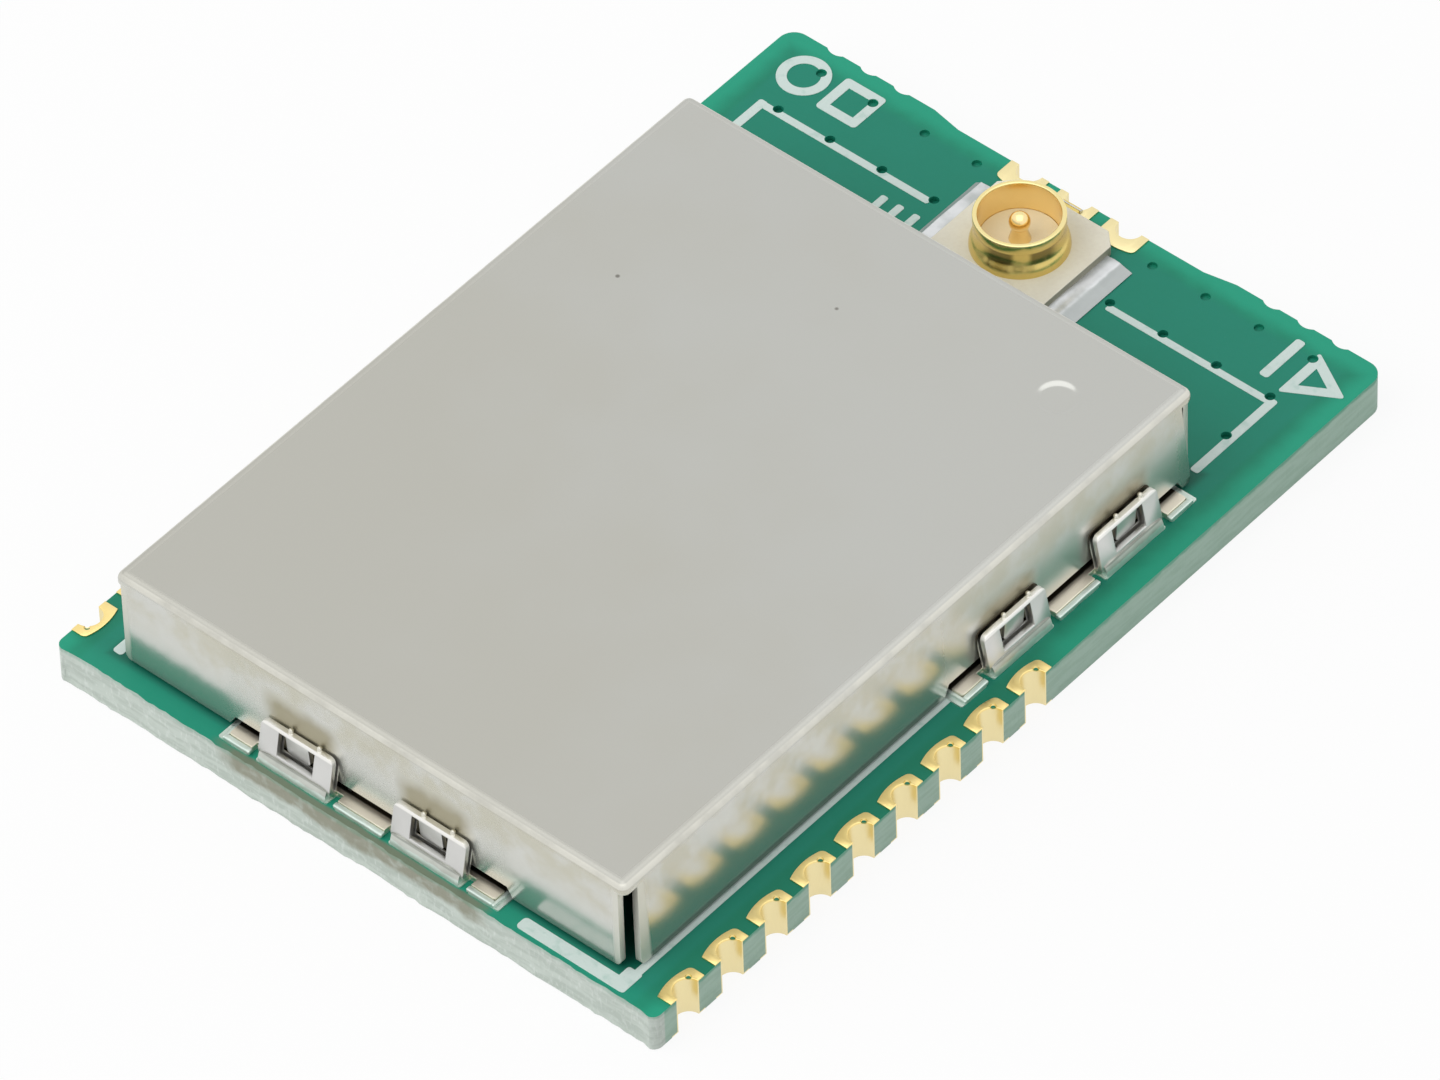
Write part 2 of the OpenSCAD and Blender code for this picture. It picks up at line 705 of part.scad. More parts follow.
// Solder at the tabs and the tail: a bed under each, and a fillet at its end
module connector_solder() {
    tab_end = conn_base_w / 2 + tab_out;
    tail_end = conn_base_l / 2 + tail_out;
    color([0.75, 0.77, 0.78]) at_connector() {
        for (s = [0, 1]) mirror([s, 0, 0]) {
            translate([conn_base_w / 2, -tab_l / 2, -land_t])
                cube([tab_out + conn_solder, tab_l, land_t]);
            rotate([90, 0, 0]) linear_extrude(tab_l, center = true) translate([tab_end, 0]) fillet_end(tab_t);
        }
        rotate([90, 0, 90]) linear_extrude(tail_w, center = true) translate([tail_end, 0]) fillet_end(tail_t);
    }
}

// Low solder slope at the end of a sheet h thick
module fillet_end(h) {
    polygon([[0, 0], [conn_solder, 0], [conn_solder, fillet_tip], [conn_solder / 2, h / 2], [0, h]]);
}

// Leads round the four sides of a flat no-lead package
module qfn_leads(s, n) {
    for (side = [0:3], i = [0:n - 1])
        rotate(side * 90) translate([(i - (n - 1) / 2) * lead_pitch - lead_w / 2, s / 2 - lead_l, 0])
            cube([lead_w, lead_l, lead_h]);
}

module qfn_pad(s) {
    pad_s = s - 2 * lead_l - 2 * lead_pitch;
    translate([-pad_s / 2, -pad_s / 2, 0]) cube([pad_s, pad_s, lead_h]);
}

module qfn_body(s, n) {
    dot_in = s / 2 - 2 * lead_l;
    difference() {
        translate([-s / 2, -s / 2, 0]) cube([s, s, qfn_h]);
        qfn_leads(s, n);
        qfn_pad(s);
        translate([-dot_in, -dot_in, qfn_h - dimple_depth]) cylinder(d = lead_l, h = dimple_depth + eps);
    }
}

module at_radio() { translate([radio_x, radio_y, board_t]) children(); }
module at_amplifier() { translate([amp_x, amp_y, board_t]) children(); }

module transceiver_body() { color([0.12, 0.12, 0.13]) at_radio() qfn_body(radio_s, radio_leads); }
module amplifier_body() { color([0.12, 0.12, 0.13]) at_amplifier() qfn_body(amp_s, amp_leads); }

module transceiver_leads() {
    color([0.75, 0.76, 0.77]) at_radio() {
        qfn_leads(radio_s, radio_leads);
        qfn_pad(radio_s);
    }
}

module amplifier_leads() {
    color([0.75, 0.76, 0.77]) at_amplifier() {
        qfn_leads(amp_s, amp_leads);
        qfn_pad(amp_s);
    }
}

module crystal_base() {
    color([0.35, 0.32, 0.28]) translate([crystal_x, crystal_y, board_t])
        linear_extrude(crystal_base_h) round_square(crystal_l, crystal_w, crystal_step);
}

module crystal_lid() {
    color([0.8, 0.8, 0.78]) translate([crystal_x, crystal_y, board_t + crystal_base_h])
        linear_extrude(crystal_lid_h)
            round_square(crystal_l - 2 * crystal_step, crystal_w - 2 * crystal_step, crystal_step);
}

// A chip part's ceramic between its end caps, and the caps, lying along X
module chip_body(l, w, h) {
    translate([-l / 2 + cap_l, -w / 2, 0]) cube([l - 2 * cap_l, w, h]);
}

module chip_ends(l, w, h) {
    for (s = [-1, 1]) translate([s * (l - cap_l) / 2 - cap_l / 2, -w / 2, 0]) cube([cap_l, w, h]);
}

module at_places(places) {
    for (p = places) translate([p.x, p.y, board_t]) rotate(90 * p.z) children();
}

module filter_body() {
    color([0.8, 0.8, 0.76]) translate([crystal_x, filter_y, board_t]) chip_body(filter_l, filter_w, filter_h);
}

module filter_ends() {
    color([0.78, 0.78, 0.77]) translate([crystal_x, filter_y, board_t]) chip_ends(filter_l, filter_w, filter_h);
}

module capacitor_bodies() { color([0.6, 0.5, 0.38]) at_places(capacitor_places) chip_body(chip_l, chip_w, chip_h); }
module capacitor_ends() { color([0.78, 0.78, 0.77]) at_places(capacitor_places) chip_ends(chip_l, chip_w, chip_h); }
module inductor_bodies() { color([0.85, 0.86, 0.84]) at_places(inductor_places) chip_body(chip_l, chip_w, chip_h); }
module inductor_ends() { color([0.78, 0.78, 0.77]) at_places(inductor_places) chip_ends(chip_l, chip_w, chip_h); }
module resistor_bodies() { color([0.1, 0.1, 0.1]) at_places(resistor_places) chip_body(chip_l, chip_w, resistor_h); }
module resistor_ends() { color([0.78, 0.78, 0.77]) at_places(resistor_places) chip_ends(chip_l, chip_w, resistor_h); }

board();
pads_right();
pads_left();
pads_rf();
shield_can();
clip_front();
clip_right();
clip_left();
clip_rear();
clip_solder();
connector_base();
connector_shell();
connector_pin();
connector_solder();
transceiver_body();
transceiver_leads();
amplifier_body();
amplifier_leads();
crystal_base();
crystal_lid();
filter_body();
filter_ends();
capacitor_bodies();
capacitor_ends();
inductor_bodies();
inductor_ends();
resistor_bodies();
resistor_ends();
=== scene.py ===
"""Dresses a shielded radio module for its picture.

Pieces are modelled in millimetres with Blender's operators and brought to metres when they are finished.
"""

import logging
import math
from collections.abc import Callable, Iterator, Sequence
from contextlib import contextmanager
from dataclasses import dataclass
from enum import Enum
from functools import cached_property
from typing import Any

import bmesh
import bpy
from mathutils import Matrix, Vector, noise


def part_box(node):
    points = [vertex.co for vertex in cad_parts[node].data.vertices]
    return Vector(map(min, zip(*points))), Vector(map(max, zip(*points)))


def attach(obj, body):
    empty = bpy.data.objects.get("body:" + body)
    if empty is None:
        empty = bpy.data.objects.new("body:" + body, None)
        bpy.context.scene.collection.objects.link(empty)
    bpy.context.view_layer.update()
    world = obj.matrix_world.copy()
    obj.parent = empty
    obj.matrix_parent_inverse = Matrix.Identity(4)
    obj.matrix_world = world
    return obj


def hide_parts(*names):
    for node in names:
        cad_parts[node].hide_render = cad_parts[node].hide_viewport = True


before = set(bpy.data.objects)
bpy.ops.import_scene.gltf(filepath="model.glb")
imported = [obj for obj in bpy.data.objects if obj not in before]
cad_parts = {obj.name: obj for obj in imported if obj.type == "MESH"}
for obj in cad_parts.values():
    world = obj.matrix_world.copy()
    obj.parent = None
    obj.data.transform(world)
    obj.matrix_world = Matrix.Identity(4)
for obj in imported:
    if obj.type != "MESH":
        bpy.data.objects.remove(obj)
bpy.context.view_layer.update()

MM = 0.001
BODY = "root"
LOG = logging.getLogger("radio_module")

Pair = tuple[float, float]
Triple = tuple[float, float, float]
Colour = tuple[float, float, float]
Test = Callable[[Vector, Vector], bool]
Material = bpy.types.Material
Socket = bpy.types.NodeSocket

ORIGIN: Triple = (0.0, 0.0, 0.0)
WHITE = (1.0, 1.0, 1.0, 1.0)
SIDES = (-1, 1)

# Lengths that several classes share, in millimetres
OVERCUT = 0.5
SOLDER_BED = 0.035
BOARD_TOP = 1.0
CAN_HALF: Pair = (7.21, 9.225)
CAN_MIDDLE = -2.125
COAX_Y = 9.8

# Slacks of the tests that pick faces, edges and points
STRAIGHT = 0.999
MOSTLY = 0.98
FACING = 0.9
LEVEL = 1e-6
LOOSE = 1e-3


class Element(Enum):
    """Kinds of mesh element that an operator acts on."""

    POINT = "VERT"
    EDGE = "EDGE"
    FACE = "FACE"


class Axis(Enum):
    """Main directions of the module."""

    X = Vector((1.0, 0.0, 0.0))
    Y = Vector((0.0, 1.0, 0.0))
    Z = Vector((0.0, 0.0, 1.0))


def everything(spot: Vector, way: Vector) -> bool:
    """Passes every element."""
    return True


def along(axis: Axis) -> Test:
    """Makes a test for edges that run along an axis, or faces that look along it either way."""
    return lambda spot, way: abs(way.normalized().dot(axis.value)) > STRAIGHT


def near(value: float, other: float, slack: float = 1e-4) -> bool:
    """Says whether two lengths are the same, within a slack in millimetres."""
    return abs(value - other) < slack


def level_at(height: float) -> Test:
    """Makes a test for level edges at a height."""
    return lambda spot, way: near(spot.z, height) and abs(way.z) < LEVEL


def clamp(value: float) -> float:
    """Keeps a number between 0 and 1."""
    return min(1.0, max(0.0, value))


def waver(x: float, y: float, z: float) -> float:
    """Gives a smooth random height from -1 to 1, the same in every run."""
    return noise.noise(Vector((x, y, z)))


def marks(low: float, high: float, parts: int) -> list[float]:
    """Gives the places that divide a length into equal parts."""
    return [low + (high - low) * i / parts for i in range(1, parts)]


class Piece:
    """A piece that is modelled with Blender's operators, in millimetres."""

    merge: float = 2e-4

    def __init__(self, thing: bpy.types.Object, name: str) -> None:
        """Takes an object over and names it."""
        self.thing = thing
        self.rename(name)

    @property
    def mesh(self) -> bpy.types.Mesh:
        """The piece's mesh."""
        return self.thing.data

    def rename(self, name: str) -> None:
        """Names the object and its mesh."""
        self.thing.name = self.thing.data.name = name

    def only(self, *others: "Piece") -> None:
        """Selects this piece and others, and nothing else, with this one active.

        Args:
            others: Further pieces to select.
        """
        bpy.ops.object.select_all(action="DESELECT")
        for piece in (self, *others):
            piece.thing.select_set(True)
        bpy.context.view_layer.objects.active = self.thing

    def settle(self) -> "Piece":
        """Moves the piece's place, turn and scale into its mesh.

        Returns:
            The piece itself.
        """
        self.only()
        bpy.ops.object.transform_apply(location=True, rotation=True, scale=True)
        return self

    @classmethod
    def block(cls, name: str, low: Sequence[float], high: Sequence[float]) -> "Piece":
        """Adds a block.

        Args:
            name: Name of the piece.
            low: Its lowest corner.
            high: Its highest corner.

        Returns:
            The new piece.
        """
        bpy.ops.object.select_all(action="DESELECT")
        bpy.ops.mesh.primitive_cube_add(size=1.0, location=(Vector(low) + Vector(high)) / 2)
        bpy.context.active_object.scale = Vector(high) - Vector(low)
        return cls(bpy.context.active_object, name).settle()

    @classmethod
    def rod(cls, name: str, foot: Sequence[float], radius: float, height: float, sides: int = 40,
            turn: Triple = ORIGIN) -> "Piece":
        """Adds a round rod.

        Args:
            name: Name of the piece.
            foot: Middle of its lower end.
            radius: Its radius.
            height: Its length.
            sides: Number of facets round it.
            turn: Turn about its foot, in radians; unturned, it stands up along Z.

        Returns:
            The new piece.
        """
        bpy.ops.object.select_all(action="DESELECT")
        bpy.ops.mesh.primitive_cylinder_add(vertices=sides, radius=radius, depth=height,
                                            location=(0.0, 0.0, height / 2))
        piece = cls(bpy.context.active_object, name).settle()
        piece.thing.rotation_euler = turn
        piece.thing.location = foot
        return piece.settle()

    @classmethod
    def ball(cls, name: str, middle: Sequence[float], size: Triple, sides: int) -> "Piece":
        """Adds a ball or a flattened ball.

        Args:
            name: Name of the piece.
            middle: Its middle.
            size: Its radius along each axis.
            sides: Number of facets round it.

        Returns:
            The new piece.
        """
        bpy.ops.object.select_all(action="DESELECT")
        bpy.ops.mesh.primitive_uv_sphere_add(segments=sides, ring_count=sides // 2, radius=1.0, location=middle)
        bpy.context.active_object.scale = size
        return cls(bpy.context.active_object, name).settle()

    @contextmanager
    def picked(self, element: Element, test: Test) -> Iterator[int]:
        """Keeps the elements that pass a test selected in edit mode, and then goes back to object mode.

        Args:
            element: Kind of element.
            test: Takes a face's middle and normal, an edge's middle and run, or a point and its normal.

        Yields:
            How many elements are selected.
        """
        self.only()
        bpy.ops.object.mode_set(mode="EDIT")
        bpy.ops.mesh.select_mode(type=element.value)
        bpy.ops.mesh.select_all(action="DESELECT")
        mesh = bmesh.from_edit_mesh(self.mesh)
        if element is Element.FACE:
            hits = [item for item in mesh.faces if test(item.calc_center_median(), item.normal)]
        elif element is Element.EDGE:
            hits = [item for item in mesh.edges
                    if test((item.verts[0].co + item.verts[1].co) / 2, item.verts[1].co - item.verts[0].co)]
        else:
            hits = [item for item in mesh.verts if test(item.co, item.normal)]
        for item in hits:
            item.select_set(True)
        mesh.select_flush_mode()
        bmesh.update_edit_mesh(self.mesh)
        yield len(hits)
        bpy.ops.object.mode_set(mode="OBJECT")

    def bevel(self, test: Test, width: float, segments: int) -> None:
        """Rounds the edges that pass a test.

        Args:
            test: Takes an edge's middle and run.
            width: Reach of the bevel on each face.
            segments: Number of facets across it.
        """
        with self.picked(Element.EDGE, test) as count:
            if count:
                bpy.ops.mesh.bevel(offset=width, offset_type="OFFSET", segments=segments, profile=0.5,
                                   affect="EDGES", clamp_overlap=True)

    def push(self, test: Test, shift: Triple) -> None:
        """Moves the points that pass a test."""
        with self.picked(Element.POINT, test):
            bpy.ops.transform.translate(value=shift)

    def grow(self, test: Test, factors: Triple, centre: Triple = ORIGIN) -> None:
        """Scales the points that pass a test about a centre."""
        with self.picked(Element.POINT, test):
            bpy.ops.transform.resize(value=factors, center_override=centre)

    def extrude(self, test: Test, shift: Sequence[float]) -> None:
        """Extrudes the faces that pass a test."""
        with self.picked(Element.FACE, test):
            bpy.ops.mesh.extrude_region_move(TRANSFORM_OT_translate={"value": shift})

    def inset(self, test: Test, width: float) -> None:
        """Insets the faces that pass a test."""
        with self.picked(Element.FACE, test):
            bpy.ops.mesh.inset(thickness=width, depth=0.0)

    def bridge(self, test: Test) -> None:
        """Opens a way through between two faces that pass a test."""
        with self.picked(Element.FACE, test):
            bpy.ops.mesh.bridge_edge_loops()

    def open(self, test: Test) -> None:
        """Deletes the faces that pass a test."""
        with self.picked(Element.FACE, test):
            bpy.ops.mesh.delete(type="FACE")

    def spin(self, test: Test, angle: float, centre: Triple, axis: Axis, steps: int) -> None:
        """Sweeps the faces that pass a test round an axis, and welds the sweep.

        Args:
            test: Takes a face's middle and normal.
            angle: Sweep in radians, right-handed; the operator itself turns the other way.
            centre: A point on the axis.
            axis: Direction of the axis.
            steps: Number of facets along the sweep.
        """
        with self.picked(Element.FACE, test):
            bpy.ops.mesh.spin(steps=steps, angle=-angle, center=centre, axis=axis.value, dupli=False)
        self.clean()

    def slice(self, axis: Axis, places: Sequence[float]) -> None:
        """Adds loops of edges across the piece.

        Args:
            axis: Direction that the cuts are square to.
            places: Coordinates of the cuts along it.
        """
        for place in places:
            with self.picked(Element.FACE, everything):
                bpy.ops.mesh.bisect(plane_co=axis.value * place, plane_no=axis.value, use_fill=False)

    def split(self, test: Test, cuts: int) -> None:
        """Subdivides the edges that pass a test."""
        with self.picked(Element.EDGE, test):
            bpy.ops.mesh.subdivide(number_cuts=cuts)

    def shift_points(self, move: Callable[[Vector], Vector]) -> None:
        """Moves every point.

        Args:
            move: Takes a point's place and gives its new one.
        """
        for point in self.mesh.vertices:
            point.co = move(point.co.copy())
        self.mesh.update()

    def modify(self, kind: str, **settings: Any) -> None:
        """Adds a modifier and applies it.

        Args:
            kind: The modifier's type.
            settings: Its properties.
        """
        self.only()
        modifier = self.thing.modifiers.new(kind.lower(), kind)
        for key, value in settings.items():
            setattr(modifier, key, value)
        bpy.ops.object.modifier_apply(modifier=modifier.name)

    def join(self, *others: "Piece") -> "Piece":
        """Makes one piece of this and others that don't cut into it.

        Args:
            others: The pieces to take in.

        Returns:
            The piece itself.
        """
        if others:
            self.only(*others)
            bpy.ops.object.join()
        return self

    def _combine(self, operation: str, other: "Piece") -> None:
        """Combines the piece with another by a boolean, and deletes the other."""
        self.modify("BOOLEAN", operation=operation, solver="EXACT", object=other.thing)
        other.discard()

    def cut(self, *tools: "Piece") -> None:
        """Takes the shapes of tools, which don't overlap each other, out of the piece."""
        self._combine("DIFFERENCE", Piece.join(*tools))

    def fuse(self, *others: "Piece") -> None:
        """Unites other shapes with the piece, one by one."""
        for other in others:
            self._combine("UNION", other)

    def soften(self, width: float, segments: int = 2, angle: float = 40.0) -> None:
        """Rounds every edge that is sharper than an angle in degrees."""
        self.modify("BEVEL", width=width, segments=segments, limit_method="ANGLE",
                    angle_limit=math.radians(angle), use_clamp_overlap=True)

    def copy(self, name: str, turn: float, shift: Sequence[float]) -> "Piece":
        """Copies the piece with its mesh.

        Args:
            name: Name of the copy.
            turn: Turn about Z, in radians.
            shift: Move after the turn.

        Returns:
            The copy, with its place in its mesh.
        """
        twin = self.thing.copy()
        twin.data = self.mesh.copy()
        bpy.context.collection.objects.link(twin)
        twin.data.transform(Matrix.Translation(Vector(shift)) @ Matrix.Rotation(turn, 4, "Z"))
        return Piece(twin, name)

    def discard(self, *others: "Piece") -> None:
        """Deletes this piece and others."""
        for piece in (self, *others):
            bpy.data.objects.remove(piece.thing, do_unlink=True)

    def clean(self, reach: float = 1e-4) -> None:
        """Merges close points, drops the slivers and turns the faces outwards.

        Args:
            reach: Points closer than this are merged.
        """
        with self.picked(Element.POINT, everything):
            bpy.ops.mesh.remove_doubles(threshold=reach)
            bpy.ops.mesh.dissolve_degenerate(threshold=reach)
            bpy.ops.mesh.select_all(action="SELECT")
            bpy.ops.mesh.normals_make_consistent(inside=False)

    def finish(self, slot: str, finishes: Sequence[Material], nodes: Sequence[str] = (), angle: float = 35.0) -> None:
        """Brings the piece to metres, shades it, dresses it and ties it to the frame.

        Args:
            slot: The record's material slot; not used.
            finishes: Its materials, in the order of its faces' numbers.
            nodes: CAD nodes that it stands for.
            angle: Edges flatter than this are shaded smooth, in degrees.
        """
        self.clean(self.merge)
        self.mesh.transform(Matrix.Scale(MM, 4))
        for finish in finishes:
            self.mesh.materials.append(finish)
        self.only()
        bpy.ops.object.shade_smooth_by_angle(angle=math.radians(angle))
        self.modify("WEIGHTED_NORMAL", mode="FACE_AREA", weight=50, keep_sharp=True)
        if nodes:
            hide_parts(*nodes)
        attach(self.thing, BODY)
        LOG.info("%s: %d faces", self.thing.name, len(self.mesh.polygons))


class Value:
    """A shader number that Python arithmetic turns into Math nodes."""

    def __init__(self, graph: "Graph", socket: Socket) -> None:
        """Wraps a socket of a graph."""
        self.graph = graph
        self.socket = socket

    def _math(self, operation: str, *terms: "Value | float") -> "Value":
        """Adds a Math node on these terms and returns its result."""
        node = self.graph.node("ShaderNodeMath", {"operation": operation}, dict(enumerate(terms)))
        return Value(self.graph, node.outputs[0])

    def __add__(self, other: "Value | float") -> "Value":
        """Adds."""
        return self._math("ADD", self, other)

    __radd__ = __add__

    def __sub__(self, other: "Value | float") -> "Value":
        """Subtracts."""
        return self._math("SUBTRACT", self, other)

    def __rsub__(self, other: "Value | float") -> "Value":
        """Subtracts from another."""
        return self._math("SUBTRACT", other, self)

    def __mul__(self, other: "Value | float") -> "Value":
        """Multiplies."""
        return self._math("MULTIPLY", self, other)

    __rmul__ = __mul__

    def __abs__(self) -> "Value":
        """Drops the sign."""
        return self._math("ABSOLUTE", self)

    def most(self, other: "Value | float") -> "Value":
        """Takes the larger of two."""
        return self._math("MAXIMUM", self, other)

    def rise(self, start: float, end: float) -> "Value":
        """Goes smoothly from 0 at one value to 1 at another.

        Args:
            start: Where the rise starts.
            end: Where it ends.

        Returns:
            The share.
        """
        node = self.graph.node("ShaderNodeMapRange", {"interpolation_type": "SMOOTHSTEP"},
                               {"Value": self, "From Min": start, "From Max": end})
        return Value(self.graph, node.outputs["Result"])

    def fall(self, start: float, end: float) -> "Value":
        """Goes smoothly from 1 at one value to 0 at another."""
        return 1.0 - self.rise(start, end)


class Graph:
    """The nodes of a material or a world, with places on the piece in millimetres."""

    def __init__(self, owner: bpy.types.Material | bpy.types.World) -> None:
        """Starts with nothing but an output.

        Args:
            owner: The material or world.
        """
        kind = "ShaderNodeOutputWorld" if isinstance(owner, bpy.types.World) else "ShaderNodeOutputMaterial"
        self.owner = owner
        owner.use_nodes = True
        self.tree = owner.node_tree
        self.tree.nodes.clear()
        self.out = self.node(kind)

    @cached_property
    def place(self) -> Socket:
        """The place on the piece, in millimetres."""
        spot = self.node("ShaderNodeTexCoord").outputs["Object"]
        return self.node("ShaderNodeVectorMath", {"operation": "SCALE"}, {0: spot, "Scale": 1.0 / MM}).outputs[0]

    def node(self, kind: str, settings: dict[str, Any] | None = None,
             sockets: dict[int | str, Any] | None = None) -> bpy.types.Node:
        """Adds a node.

        Args:
            kind: The node's type.
            settings: Its properties, set first.
            sockets: Values or links of its inputs, by name or number.

        Returns:
            The node.
        """
        node = self.tree.nodes.new(kind)
        for key, value in (settings or {}).items():
            setattr(node, key, value)
        for key, value in (sockets or {}).items():
            value = value.socket if isinstance(value, Value) else value
            if isinstance(value, Socket):
                self.tree.links.new(value, node.inputs[key])
            else:
                node.inputs[key].default_value = value
        return node

    def axes(self) -> tuple[Value, Value, Value]:
        """Gives the place on the piece as three numbers in millimetres."""
        parts = self.node("ShaderNodeSeparateXYZ", {}, {0: self.place})
        return tuple(Value(self, parts.outputs[i]) for i in range(3))

    def noise(self, scale: float, detail: float = 2.0, stretch: Triple = (1.0, 1.0, 1.0)) -> Value:
        """Makes a cloudy pattern from 0 to 1.

        Args:
            scale: Blotches to the millimetre.
            detail: Finer layers in it.
            stretch: Factors on the scale along each axis.

        Returns:
            The pattern.
        """
        spot = self.node("ShaderNodeVectorMath", {"operation": "MULTIPLY"}, {0: self.place, 1: stretch})
        node = self.node("ShaderNodeTexNoise", {}, {"Vector": spot.outputs[0], "Scale": scale, "Detail": detail})
        return Value(self, node.outputs["Fac"])

    def cells(self, scale: float) -> Value:
        """Makes a pattern of distances to scattered points, so many to the millimetre."""
        node = self.node("ShaderNodeTexVoronoi", {}, {"Vector": self.place, "Scale": scale})
        return Value(self, node.outputs["Distance"])

    def mix(self, share: Value | float, first: Colour | Socket, second: Colour | Socket) -> Socket:
        """Blends two colours.

        Args:
            share: Share of the second, from 0 to 1.
            first: A colour or a link.
            second: A colour or a link.

        Returns:
            The blend.
        """
        ends = [(*end, 1.0) if isinstance(end, tuple) else end for end in (first, second)]
        node = self.node("ShaderNodeMix", {"data_type": "RGBA"}, {0: share, 6: ends[0], 7: ends[1]})
        return node.outputs[2]

    def bump(self, height: Value, depth: float) -> Socket:
        """Makes a relief, so many millimetres deep, of a pattern of heights from 0 to 1."""
        node = self.node("ShaderNodeBump", {}, {"Height": height, "Strength": 1.0, "Distance": depth * MM})
        return node.outputs["Normal"]

    def show(self, shader: Socket) -> None:
        """Links a shader to the output."""
        self.tree.links.new(shader, self.out.inputs["Surface"])

    def surface(self, sockets: dict[str, Any]) -> Material:
        """Ends a material with a Principled shader that has these sockets."""
        self.show(self.node("ShaderNodeBsdfPrincipled", {}, sockets).outputs[0])
        return self.owner


@dataclass(frozen=True)
class SheetFinish:
    """Plated sheet metal with a fine satin grain."""

    name: str
    colour: Colour
    shade: Colour
    roughness: float
    haze: float = 0.05
    grain: float = 0.0005

    def material(self) -> Material:
        """Builds the material.

        Returns:
            The material.
        """
        graph = Graph(bpy.data.materials.new(self.name))
        fine = graph.noise(28.0, 3.0)
        colour = graph.mix(graph.noise(0.8, 3.0).rise(0.3, 0.7), self.colour, self.shade)
        return graph.surface({"Base Color": colour, "Metallic": 1.0,
                              "Roughness": fine * self.haze + (self.roughness - self.haze / 2),
                              "Normal": graph.bump(fine, self.grain)})


@dataclass(frozen=True)
class ClipFinish:
    """Tinned sheet, with a painted highlight along the arms' heads, warm feet painted lighter against the shade of
    the can's wall, and painted shade where the clips run under the can.
    """

    name: str = "tinned_clip_sheet"
    colour: Colour = (0.7, 0.7, 0.68)
    shade: Colour = (0.64, 0.64, 0.62)
    # Painted highlight along the top edges of the arms.
    head: Colour = (0.93, 0.92, 0.88)
    peg: Colour = (0.72, 0.7, 0.61)
    # Warm tone of the feet, painted lighter to make up for the shade of the can's wall over them.
    foot: Colour = (0.92, 0.85, 0.72)
    # Painted shade, near black, for the parts of the clips inside the can's outline.
    under_can_shade: Colour = (0.06, 0.05, 0.035)
    roughness: float = 0.36
    haze: float = 0.05
    grain: float = 0.0005
    head_from: Pair = (1.97, 2.02)
    peg_from: Pair = (2.08, 2.1)
    foot_to: Pair = (1.15, 1.19)
    can_edge: Pair = (-0.03, 0.02)

    def material(self) -> Material:
        """Builds the material.

        Returns:
            The material.
        """
        graph = Graph(bpy.data.materials.new(self.name))
        across, length, height = graph.axes()
        fine = graph.noise(28.0, 3.0)
        colour = graph.mix(graph.noise(0.8, 3.0).rise(0.3, 0.7), self.colour, self.shade)
        # Painted highlight: the arms' heads are painted near white.
        colour = graph.mix(height.rise(*self.head_from), colour, self.head)
        colour = graph.mix(height.rise(*self.peg_from), colour, self.peg)
        # The feet: warm tone, painted lighter against their shade.
        colour = graph.mix(height.fall(*self.foot_to), colour, self.foot)
        # Painted shade where the clips run under the can.
        beyond = (abs(across) - CAN_HALF[0]).most(abs(length - CAN_MIDDLE) - CAN_HALF[1])
        colour = graph.mix(beyond.fall(*self.can_edge), colour, self.under_can_shade)
        return graph.surface({"Base Color": colour, "Metallic": 1.0, "Roughness": fine * self.haze + self.roughness,
                              "Normal": graph.bump(fine, self.grain)})


